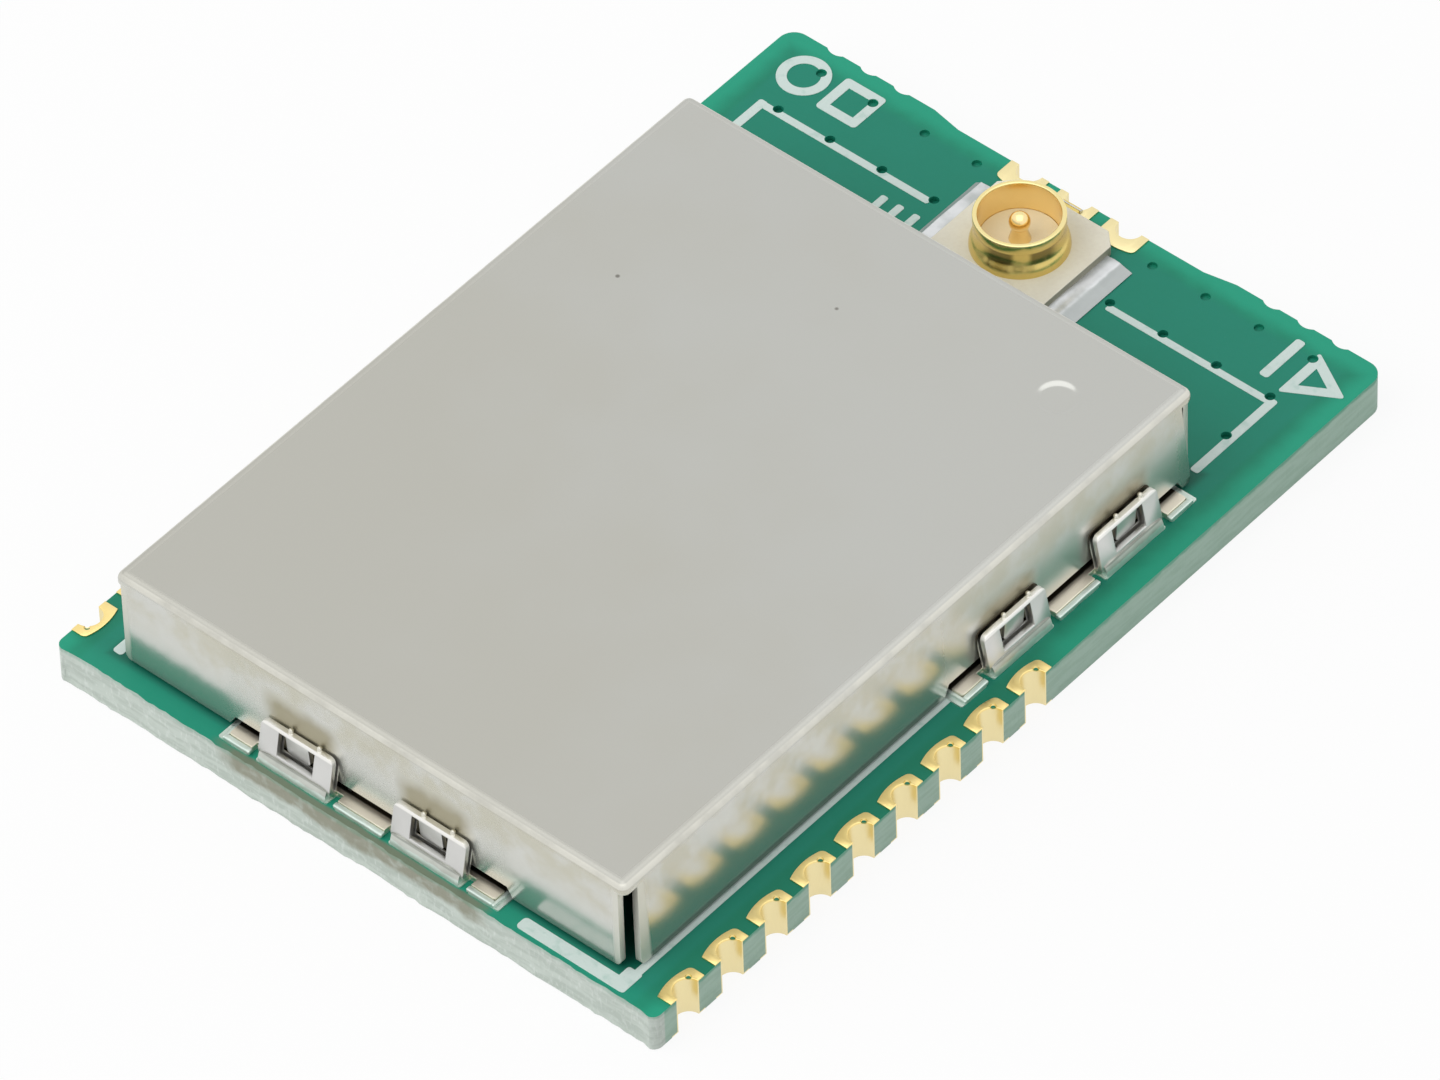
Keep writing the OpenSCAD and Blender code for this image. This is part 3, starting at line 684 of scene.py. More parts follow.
@dataclass(frozen=True)
class CanFinish:
    """Satin nickel silver: a top with a few specks, darker towards the front left; mottled walls painted lighter than
    the top, with painted shade behind the clips and along the side walls' feet, and painted highlights on the folds
    and cut ends.
    """

    name: str = "satin_can_sheet"
    top: Colour = (0.52, 0.523, 0.492)
    cloud: Colour = (0.498, 0.493, 0.445)
    # The walls are painted lighter than the top, a painted reflection of the white floor.
    wall: Colour = (0.63, 0.635, 0.595)
    mottle: Colour = (0.555, 0.54, 0.445)
    # Painted highlight tone, for the folds and the cut ends beside the slots.
    highlight_tone: Colour = (0.74, 0.73, 0.66)
    # Painted shade behind the clips' arms, where the wall reflects their shaded backs.
    stain_and_shade: Colour = (0.36, 0.325, 0.21)
    # Painted shade, dark green like the board's reflection, along the foot of the side walls.
    sill: Colour = (0.13, 0.19, 0.155)
    speck: Colour = (0.16, 0.15, 0.13)
    roughness: float = 0.18
    drift: Pair = (-14.0, 10.0)
    fold_from: Pair = (3.365, 3.5075)
    mottle_from: Pair = (2.5, 3.6)
    side_from: Pair = (6.9, 6.95)
    side_middle: float = 2.6
    arm: float = 1.85
    stain_and_shade_half: Pair = (0.62, 1.17)
    arm_shade_to: Pair = (2.65, 3.2)
    edge_across: Pair = (6.8, 6.86)
    edge_along: Pair = (8.98, 9.04)
    fold_highlight_from: Pair = (3.405, 3.435)
    fold_highlight_to: Pair = (3.51, 3.535)
    dull_from: Pair = (3.365, 3.405)
    side_end: Pair = (8.56, 8.66)
    end_end: Pair = (6.68, 6.78)
    end_highlight_to: Pair = (3.275, 3.355)
    sill_to: Pair = (1.16, 1.24)
    sill_from: Pair = (4.0, 4.2)
    close_to: Pair = (3.7, 4.1)
    speck_size: Pair = (0.012, 0.03)
    grain: float = 0.00015
    waves: float = 0.0035

    def material(self) -> Material:
        """Builds the material.

        Returns:
            The material.
        """
        graph = Graph(bpy.data.materials.new(self.name))
        across, length, height = graph.axes()
        fine = graph.noise(26.0, 2.0)
        ragged = graph.noise(2.2, 3.0)
        # The top is painted darker and warmer towards the front left, over random clouding.
        drift = graph.noise(0.3, 3.0) * 0.5 + (length + across * 0.7).fall(*self.drift) * 0.5
        colour = graph.mix(drift.rise(0.25, 0.75), self.top, self.cloud)
        folded = height.fall(*self.fold_from)
        upper = (height + ragged * 0.9).rise(*self.mottle_from)
        # Walls: painted lighter than the top, with mottling higher up.
        walls = graph.mix(upper * graph.noise(1.1, 4.0).rise(0.3, 0.6) * 0.9, self.wall, self.mottle)
        on_side = abs(across).rise(*self.side_from)
        run = abs(across) * (1.0 - on_side) + abs(length - self.side_middle) * on_side
        beside = abs(run - self.arm) + ragged * 0.3 - 0.15
        # Painted shade on the walls behind and just above the clips' arms, which also makes them rougher.
        arm_shade = beside.fall(*self.stain_and_shade_half) * (height + ragged * 0.4 + on_side * 0.18).fall(*self.arm_shade_to)
        walls = graph.mix(arm_shade * 0.85, walls, self.stain_and_shade)
        colour = graph.mix(folded, colour, walls)
        edged = abs(across).rise(*self.edge_across).most(abs(length - CAN_MIDDLE).rise(*self.edge_along))
        # Painted highlight along the upper folds, broken up by noise.
        fold_highlight = height.rise(*self.fold_highlight_from) * height.fall(*self.fold_highlight_to) * edged
        colour = graph.mix(fold_highlight * (graph.noise(1.3, 4.0).rise(0.3, 0.6) * 0.5 + 0.4), colour, self.highlight_tone)
        # Painted highlight: light strips along the walls' cut ends beside the corner slots, rougher there.
        side_end = (CAN_MIDDLE - length).rise(*self.side_end) * on_side
        end_end = abs(across).rise(*self.end_end) * (1.0 - on_side)
        end_highlight = side_end.most(end_end) * height.fall(*self.end_highlight_to)
        colour = graph.mix(end_highlight * 0.8, colour, self.highlight_tone)
        # Painted shade along the foot of the side walls, away from the clips.
        sill = height.fall(*self.sill_to) * on_side * run.rise(*self.sill_from) * (1.0 - end_highlight)
        colour = graph.mix(sill * 0.95, colour, self.sill)
        dots = graph.cells(0.42).fall(*self.speck_size) * graph.noise(0.4, 0.0).rise(0.5, 0.6)
        colour = graph.mix(dots * 0.8, colour, self.speck)
        dulled = edged * height.rise(*self.dull_from)
        rough = fine * 0.04 + (run.fall(*self.close_to) * 0.07 + arm_shade * 0.2 + on_side * 0.025) * folded
        rough = rough + end_highlight * 0.3 + dulled * 0.25 + self.roughness
        relief = fine * self.grain + graph.noise(1.6, 1.0) * self.waves
        return graph.surface({"Base Color": colour, "Metallic": 1.0 - folded * 0.14, "Roughness": rough,
                              "Normal": graph.bump(relief, 1.0)})


@dataclass(frozen=True)
class MaskFinish:
    """Green solder mask over copper and bare laminate, lighter at the border, with painted shade by the can, a little
    dusty.
    """

    name: str = "green_mask"
    over_copper: Colour = (0.012, 0.245, 0.165)
    over_laminate: Colour = (0.007, 0.215, 0.125)
    border: Colour = (0.02, 0.42, 0.26)
    shaded: Colour = (0.004, 0.085, 0.055)
    stain_and_shade: Colour = (0.2, 0.2, 0.14)
    dust: Colour = (0.3, 0.52, 0.44)
    roughness: float = 0.4
    gloss: float = 0.25
    pour_half: Pair = (7.6, 7.8)
    pour_end: Pair = (11.2, 11.5)
    pads_end: Pair = (0.2, 1.6)
    pads_start: Pair = (-11.75, -11.2)
    side_border: Pair = (7.75, 8.4)
    far_border: Pair = (11.35, 11.95)
    front_border: Pair = (-11.8, -11.25)
    can_shade: Pair = (0.0, 0.22)
    stain_front: Pair = (-11.8, -11.7)
    stain_and_shade_half: Pair = (3.8, 4.4)
    mote_size: Pair = (0.03, 0.06)
    relief: float = 0.002

    def material(self) -> Material:
        """Builds the material.

        Returns:
            The material.
        """
        graph = Graph(bpy.data.materials.new(self.name))
        across, length, _ = graph.axes()
        peel = graph.noise(6.0, 2.0)
        ragged = graph.noise(1.6, 4.0)
        weave = graph.noise(9.0, 1.0, (1.0, 0.25, 1.0)) * 0.5 + graph.noise(9.0, 1.0, (0.25, 1.0, 1.0)) * 0.5
        pour = abs(across).fall(*self.pour_half) * length.fall(*self.pour_end)
        share = pour * 0.75 + graph.noise(0.7, 4.0).rise(0.3, 0.7) * 0.18 + weave.rise(0.35, 0.65) * 0.07
        colour = graph.mix(share, self.over_laminate, self.over_copper)
        clear = length.rise(*self.pads_end).most(length.fall(*self.pads_start))
        edge = (abs(across) + ragged * 0.3).rise(*self.side_border) * clear
        edge = edge.most((length + ragged * 0.3).rise(*self.far_border))
        edge = edge.most(length.fall(*self.front_border) * 0.45)
        colour = graph.mix(edge * 0.7, colour, self.border)
        # Painted shade round the can's foot.
        beyond = (abs(across) - CAN_HALF[0]).most(abs(length - CAN_MIDDLE) - CAN_HALF[1])
        colour = graph.mix(beyond.fall(*self.can_shade) * 0.65, colour, self.shaded)
        front = (length + ragged * 0.1).fall(*self.stain_front) * (abs(across) + ragged * 0.8).fall(*self.stain_and_shade_half)
        colour = graph.mix(front * 0.85, colour, self.stain_and_shade)
        motes = graph.cells(0.75).fall(*self.mote_size) * graph.noise(0.9, 0.0).rise(0.52, 0.6)
        colour = graph.mix(motes * 0.5, colour, self.dust)
        return graph.surface({"Base Color": colour, "Roughness": peel * 0.1 + self.roughness,
                              "Normal": graph.bump(peel * 0.7 + weave * 0.3, self.relief),
                              "Specular IOR Level": self.gloss})


@dataclass(frozen=True)
class LaminateFinish:
    """Cut edge of the glass laminate, fibrous, stained where it was broken off, its broken-off front chalkier and
    painted lighter than the sides as if lit from the front.
    """

    name: str = "bare_laminate"
    glass: Colour = (0.37, 0.515, 0.43)
    resin: Colour = (0.325, 0.47, 0.38)
    chalk: Colour = (0.44, 0.57, 0.49)
    # Front face tones: chalkier where broken off, and painted lighter to stand in for the light from the front.
    snapped_and_lit: Colour = (0.54, 0.6, 0.55)
    snapped_and_lit_dark: Colour = (0.45, 0.51, 0.46)
    snapped_and_lit_chalk: Colour = (0.72, 0.76, 0.73)
    stain_and_shade: Colour = (0.24, 0.235, 0.17)
    mask: Colour = (0.04, 0.29, 0.18)
    roughness: float = 0.6
    front_to: Pair = (-11.7, -11.65)
    stain_and_shade_half: Pair = (3.65, 4.35)
    stain_from: Pair = (0.67, 0.89)
    lip_from: Pair = (0.86, 0.96)
    relief: float = 0.018

    def material(self) -> Material:
        """Builds the material.

        Returns:
            The material.
        """
        graph = Graph(bpy.data.materials.new(self.name))
        across, length, height = graph.axes()
        plies = graph.noise(1.0, 4.0, (1.3, 1.3, 9.0))
        fibres = graph.noise(1.0, 3.0, (14.0, 14.0, 5.0))
        crumbs = graph.noise(3.0, 4.0)
        ragged = graph.noise(1.6, 4.0)
        # The broken-off front face is painted lighter than the sides, partly as painted light.
        front = length.fall(*self.front_to)
        colour = graph.mix(plies.rise(0.36, 0.62), graph.mix(front, self.resin, self.snapped_and_lit_dark),
                           graph.mix(front, self.glass, self.snapped_and_lit))
        colour = graph.mix(fibres.rise(0.5, 0.75) * (front * 0.3 + 0.15), colour,
                           graph.mix(front, self.chalk, self.snapped_and_lit_chalk))
        inside = (abs(across) + ragged * 0.8).fall(*self.stain_and_shade_half)
        upper = (height + ragged * 0.5).rise(*self.stain_from)
        stain_and_shade = front * inside * upper * (crumbs.rise(0.25, 0.55) * 0.5 + 0.5)
        colour = graph.mix(stain_and_shade * 0.85, colour, self.stain_and_shade)
        lip = (height + crumbs * 0.16 - 0.08).rise(*self.lip_from) * (1.0 - front * 0.6)
        colour = graph.mix(lip * 0.7, colour, self.mask)
        return graph.surface({"Base Color": colour, "Roughness": fibres * 0.2 + self.roughness,
                              "Normal": graph.bump(fibres * 0.5 + crumbs * 0.5, self.relief)})


@dataclass(frozen=True)
class PadGoldFinish:
    """Thin gold plating, paler down the barrels than on the lands."""

    name: str = "pad_gold"
    barrel: Colour = (0.87, 0.75, 0.42)
    land: Colour = (0.927, 0.732, 0.305)
    worn: Colour = (0.84, 0.74, 0.42)
    roughness: float = 0.27
    far_row: Pair = (11.0, 11.2)
    land_from: Pair = (0.97, 1.01)
    relief: float = 0.003

    def material(self) -> Material:
        """Builds the material.

        Returns:
            The material.
        """
        graph = Graph(bpy.data.materials.new(self.name))
        _, length, height = graph.axes()
        cloud = graph.noise(1.8, 3.0)
        land = graph.mix(length.rise(*self.far_row) * 0.85, self.land, self.worn)
        colour = graph.mix(height.rise(*self.land_from), self.barrel, land)
        colour = graph.mix(cloud.rise(0.5, 0.75) * 0.3, colour, self.worn)
        return graph.surface({"Base Color": colour, "Metallic": 1.0, "Roughness": cloud * 0.1 + self.roughness,
                              "Normal": graph.bump(graph.noise(22.0, 2.0), self.relief)})


@dataclass(frozen=True)
class RingGoldFinish:
    """Gold plating of the connector: painted lighter inside the ring against its shade, with a painted highlight on
    the top rim and painted dark reflections in patches round its waist.
    """

    name: str = "ring_gold"
    outside: Colour = (0.76, 0.59, 0.2)
    # Painted lighter inside the ring, the centre contact too, against the shade there.
    inside: Colour = (0.97, 0.76, 0.38)
    # Painted highlight on the ring's rounded top rim.
    rim: Colour = (0.88, 0.75, 0.36)
    # Painted dark reflections in the waist's groove.
    dark_reflection: Colour = (0.2, 0.155, 0.05)
    roughness: float = 0.2
    wall: float = 0.955
    wall_soft: float = 0.03
    rim_from: Pair = (2.16, 2.19)
    waist_from: Pair = (1.59, 1.65)
    waist_to: Pair = (1.91, 1.97)
    patch_way: Pair = (0.743, 0.67)
    patch_from: Pair = (0.12, 0.26)
    patch_to: Pair = (0.6, 0.85)
    patch_reach: Pair = (0.92, 0.95)
    relief: float = 0.0008

    def material(self) -> Material:
        """Builds the material.

        Returns:
            The material.
        """
        graph = Graph(bpy.data.materials.new(self.name))
        across, length, height = graph.axes()
        beyond = length - COAX_Y
        reach = across * across + beyond * beyond
        cloud = graph.noise(1.8, 3.0)
        wall = self.wall ** 2
        # Painted light: everything inside the ring's wall is lighter.
        colour = graph.mix(reach.rise(wall - self.wall_soft, wall + self.wall_soft), self.inside, self.outside)
        # Painted highlight along the top rim.
        colour = graph.mix(height.rise(*self.rim_from), colour, self.rim)
        # Painted dark reflections: patches round the waist.
        band = height.rise(*self.waist_from) * height.fall(*self.waist_to)
        aside = abs(across * self.patch_way[0] + beyond * self.patch_way[1])
        patch = aside.rise(*self.patch_from) * aside.fall(*self.patch_to) * reach.rise(*self.patch_reach)
        colour = graph.mix(band * patch * 0.9, colour, self.dark_reflection)
        return graph.surface({"Base Color": colour, "Metallic": 1.0, "Roughness": cloud * 0.08 + self.roughness,
                              "Normal": graph.bump(graph.noise(22.0, 2.0), self.relief)})


@dataclass(frozen=True)
class SolderFinish:
    """Solder with a soft skin: tinted by the mask where it runs out thin, unless a crease is given, beyond which it
    is painted darker grey.
    """

    name: str
    colour: Colour
    dull: Colour
    thin: Colour
    roughness: float = 0.34
    metal: float = 0.8
    shadow: Colour = (0.25, 0.26, 0.23)
    thin_to: Pair = (1.13, 1.19)
    seam_from: Pair = (1.26, 1.29)
    seam_to: Pair = (1.31, 1.33)
    crease: float = 0.0
    crease_soft: float = 0.03
    relief: float = 0.006

    def material(self) -> Material:
        """Builds the material.

        Returns:
            The material.
        """
        graph = Graph(bpy.data.materials.new(self.name))
        across, _, height = graph.axes()
        cloud = graph.noise(1.6, 3.0)
        ripple = graph.noise(4.0, 2.0)
        colour = graph.mix(cloud.rise(0.4, 0.7), self.colour, self.dull)
        # With a crease, the solder beyond it is painted darker grey.
        if self.crease:
            beyond = (abs(across) + ripple * 0.06 - 0.03).rise(self.crease - self.crease_soft,
                                                               self.crease + self.crease_soft)
            colour = graph.mix(beyond, colour, self.thin)
        else:
            low = (height + ripple * 0.1 - 0.05).fall(*self.thin_to)
            colour = graph.mix(low * 0.8, colour, self.thin)
            seam = height.rise(*self.seam_from) * height.fall(*self.seam_to)
            colour = graph.mix(seam * 0.6, colour, self.shadow)
        return graph.surface({"Base Color": colour, "Metallic": self.metal,
                              "Roughness": cloud * 0.16 + self.roughness,
                              "Normal": graph.bump(ripple, self.relief)})


@dataclass(frozen=True)
class BaseFinish:
    """The connector's pale moulding, painted lighter and warmer under the ring as if lit by the gold, and painted
    dark down its long sides as shade.
    """

    name: str = "pale_moulding"
    colour: Colour = (0.9, 0.87, 0.74)
    shade: Colour = (0.84, 0.8, 0.67)
    # Painted light: the floor inside the ring, lighter and warmer as if lit by the gold.
    under: Colour = (0.97, 0.87, 0.64)
    # Painted shade for the long side faces.
    side: Colour = (0.3, 0.29, 0.22)
    roughness: float = 0.38
    side_from: Pair = (1.58, 1.595)
    bore: float = 0.92
    bore_soft: float = 0.02
    relief: float = 0.004

    def material(self) -> Material:
        """Builds the material.

        Returns:
            The material.
        """
        graph = Graph(bpy.data.materials.new(self.name))
        across, length, _ = graph.axes()
        beyond = length - COAX_Y
        reach = across * across + beyond * beyond
        pores = graph.noise(12.0, 3.0)
        share = graph.noise(1.2, 3.0).rise(0.3, 0.7) * 0.6 + pores.rise(0.4, 0.7) * 0.4
        colour = graph.mix(share, self.colour, self.shade)
        bore = self.bore ** 2
        # Painted light under the ring.
        colour = graph.mix(reach.fall(bore - self.bore_soft, bore + self.bore_soft), colour, self.under)
        # Painted shade down the long sides.
        colour = graph.mix(abs(across).rise(*self.side_from), colour, self.side)
        return graph.surface({"Base Color": colour, "Roughness": pores * 0.14 + self.roughness,
                              "Normal": graph.bump(pores, self.relief)})


@dataclass(frozen=True)
class MouldedFinish:
    """Moulded or fired matter: package compound, ceramic or glaze."""

    name: str
    colour: Colour
    shade: Colour
    roughness: float
    grain: float = 12.0
    relief: float = 0.004
    haze: float = 0.14

    def material(self) -> Material:
        """Builds the material.

        Returns:
            The material.
        """
        graph = Graph(bpy.data.materials.new(self.name))
        pores = graph.noise(self.grain, 3.0)
        share = graph.noise(1.2, 3.0).rise(0.3, 0.7) * 0.6 + pores.rise(0.4, 0.7) * 0.4
        return graph.surface({"Base Color": graph.mix(share, self.colour, self.shade),
                              "Roughness": pores * self.haze + (self.roughness - self.haze / 2),
                              "Normal": graph.bump(pores, self.relief)})


@dataclass(frozen=True)
class InkFinish:
    """White print, thin over the green mask."""

    name: str = "white_print"
    ink: Colour = (0.66, 0.78, 0.74)
    thin: Colour = (0.47, 0.65, 0.59)
    roughness: float = 0.5
    relief: float = 0.004

    def material(self) -> Material:
        """Builds the material.

        Returns:
            The material.
        """
        graph = Graph(bpy.data.materials.new(self.name))
        mesh = graph.noise(14.0, 2.0)
        share = graph.noise(3.0, 4.0).rise(0.52, 0.72) * 0.7 + mesh.rise(0.55, 0.75) * 0.15
        return graph.surface({"Base Color": graph.mix(share, self.ink, self.thin),
                              "Roughness": mesh * 0.1 + self.roughness,
                              "Normal": graph.bump(mesh, self.relief)})


class Finishes:
    """All the module's materials, each built once."""

    def __init__(self) -> None:
        """Builds the materials."""
        self.can = CanFinish().material()
        self.clip = ClipFinish().material()
        self.mask = MaskFinish().material()
        self.laminate = LaminateFinish().material()
        self.pads = PadGoldFinish().material()
        self.coax = RingGoldFinish().material()
        self.solder = SolderFinish("clip_solder", (0.6, 0.62, 0.57), (0.5, 0.52, 0.47), (0.74, 0.87, 0.81)).material()
        self.tab_solder = SolderFinish("tab_solder", (0.71, 0.725, 0.735), (0.48, 0.505, 0.5), (0.41, 0.435, 0.43),
                                       crease=1.97).material()
        self.plastic = BaseFinish().material()
        self.ink = InkFinish().material()
        self.compound = MouldedFinish("package_compound", (0.018, 0.018, 0.019), (0.03, 0.03, 0.031), 0.55,
                                      18.0, 0.008).material()
        self.leads = SheetFinish("tinned_leads", (0.62, 0.62, 0.61), (0.55, 0.55, 0.54), 0.3).material()
        self.crystal_base = MouldedFinish("dark_ceramic", (0.1, 0.08, 0.06), (0.13, 0.105, 0.08), 0.6).material()
        self.crystal_lid = SheetFinish("plated_lid", (0.6, 0.58, 0.52), (0.56, 0.54, 0.48), 0.3).material()
        self.pale_ceramic = MouldedFinish("pale_ceramic", (0.62, 0.62, 0.58), (0.56, 0.56, 0.52), 0.5).material()
        self.tan_ceramic = MouldedFinish("tan_ceramic", (0.3, 0.2, 0.11), (0.26, 0.17, 0.09), 0.45).material()
        self.glaze = MouldedFinish("black_glaze", (0.014, 0.014, 0.015), (0.02, 0.02, 0.021), 0.2).material()


@dataclass
class Board:
    """The green board: half-holes in its edges, vias, break-off stubs and a snapped front edge."""

    width: float = 16.7
    length: float = 24.0
    thickness: float = BOARD_TOP
    corner: float = 0.4
    front_corner: float = 0.22
    stub_width: float = 4.1
    stub_proud: float = 0.15
    stub_run: float = 0.8
    bite_radius: float = 0.35
    bite_depth: float = 0.08
    bite_pitch: float = 0.95
    bite_count: int = 3
    drill: float = 0.355
    via: float = 0.115
    via_sides: int = 24
    via_depth: float = 0.14
    via_tented: float = 0.08
    via_pitch: float = 1.48
    via_inner: float = 2.47
    via_count: int = 4
    via_rows: Pair = (0.7, 2.14)
    via_side_gap: float = 1.5
    via_side_count: int = 2
    rough_depth: float = 0.09
    rough_end: float = 0.4
    rough_mean: float = 0.45
    rough_waves: tuple[tuple[float, float, float, float], ...] = (
        (0.9, 2.0, 3.1, 0.45), (5.5, 7.0, 8.7, 0.3), (14.0, 5.0, 1.3, 0.22))
    rough_cuts: int = 150
    rough_layers: int = 9

    @property
    def front(self) -> float:
        """Place of the front edge along Y."""
        return -self.length / 2

    @property
    def far(self) -> float:
        """Place of the far edge along Y, over the stubs."""
        return self.length / 2

    @property
    def routed(self) -> float:
        """Place of the routed far edge, between the stubs."""
        return self.far - self.stub_proud

    def vias(self) -> list[Triple]:
        """Lists the vias.

        Returns:
            The place of each one's middle along X and Y, and the depth of its open end.
        """
        vias = []
        for side in SIDES:
            for row, depth in zip(self.via_rows, (self.via_tented, self.via_depth)):
                vias += [(side * (self.via_inner + i * self.via_pitch), self.far - row, depth)
                         for i in range(self.via_count)]
            outer = side * (self.via_inner + (self.via_count - 1) * self.via_pitch)
            vias += [(outer, self.far - self.via_rows[1] - i * self.via_side_gap, self.via_depth)
                     for i in range(1, self.via_side_count + 1)]
        return vias

    def via_tools(self, radius: float) -> list[Piece]:
        """Makes two blind drills of a radius for each via, one from below and one from above."""
        return [Piece.rod("drill", (x, y, low), radius, OVERCUT + depth, self.via_sides)
                for x, y, depth in self.vias() for low in (-OVERCUT, self.thickness - depth)]

    def _edge_tools(self, pads: "EdgePads") -> list[Piece]:
        """Makes the drills of the half-holes and of the stubs' bites.

        Args:
            pads: The edge pads that the half-holes belong to.

        Returns:
            The drills.
        """
        depth = self.thickness + 2 * OVERCUT
        tools = [Piece.rod("drill", (*spot, -OVERCUT), self.drill, depth) for spot, _ in pads.all_places(self)]
        half = self.width / 2 - self.stub_width
        bites = [(side * (half + self.bite_pitch * i), self.far + self.bite_radius - self.bite_depth)
                 for side in SIDES for i in range(1, self.bite_count + 1)]
        return tools + [Piece.rod("bite", (*spot, -OVERCUT), self.bite_radius, depth) for spot in bites]

    def _router(self) -> Piece:
        """Makes the cutter of the routed edge between the stubs, wider outside than at its floor.

        Returns:
            The cutter.
        """
        half = self.width / 2 - self.stub_width - self.stub_run
        out = self.stub_proud + OVERCUT
        tool = Piece.block("router", (-half, self.routed, -OVERCUT),
                           (half, self.routed + out, self.thickness + OVERCUT))
        spread = (half + self.stub_run * out / self.stub_proud) / half
        tool.grow(lambda spot, way: spot.y > self.far, (spread, 1.0, 1.0))
        return tool

    def _snap(self, spot: Vector) -> Vector:
        """Moves a point of the front face inwards, as where a board was broken off.

        Args:
            spot: The point.

        Returns:
            Its new place.
        """
        if near(spot.y, self.front, LOOSE):
            dent = self.rough_mean
            for across, up, seed, weight in self.rough_waves:
                dent += weight * waver(spot.x * across, spot.z * up, seed)
            spot.y += self.rough_depth * clamp(dent) * clamp((self.width / 2 - abs(spot.x)) / self.rough_end)
        return spot

    def build(self, finishes: Finishes, pads: "EdgePads") -> None:
        """Models and dresses the board.

        Args:
            finishes: The module's materials.
            pads: The edge pads, whose half-holes and lands are cut into the board.
        """
        upright = along(Axis.Z)
        board = Piece.block("circuit_board", (-self.width / 2, self.front, 0.0),
                            (self.width / 2, self.far, self.thickness))
        board.bevel(lambda spot, way: upright(spot, way) and spot.y > 0, self.corner, 8)
        board.bevel(lambda spot, way: upright(spot, way) and near(spot.y, self.front), self.front_corner, 6)
        board.cut(self._router())
        board.cut(*self._edge_tools(pads), *self.via_tools(self.via))
        board.cut(*pads.land_tools(self))
        for run, cuts in ((along(Axis.X), self.rough_cuts), (upright, self.rough_layers)):
            board.split(lambda spot, way: near(spot.y, self.front, LOOSE) and run(spot, way), cuts)
        board.shift_points(self._snap)
        board.clean()
        vias = [Vector(via[:2]) for via in self.vias()]
        for face in board.mesh.polygons:
            in_via = any((face.center.to_2d() - via).length < 2 * self.via for via in vias)
            face.material_index = 0 if in_via or abs(face.normal.z) > FACING else 1
        board.finish("laminate", (finishes.mask, finishes.laminate), ("board",), 30.0)


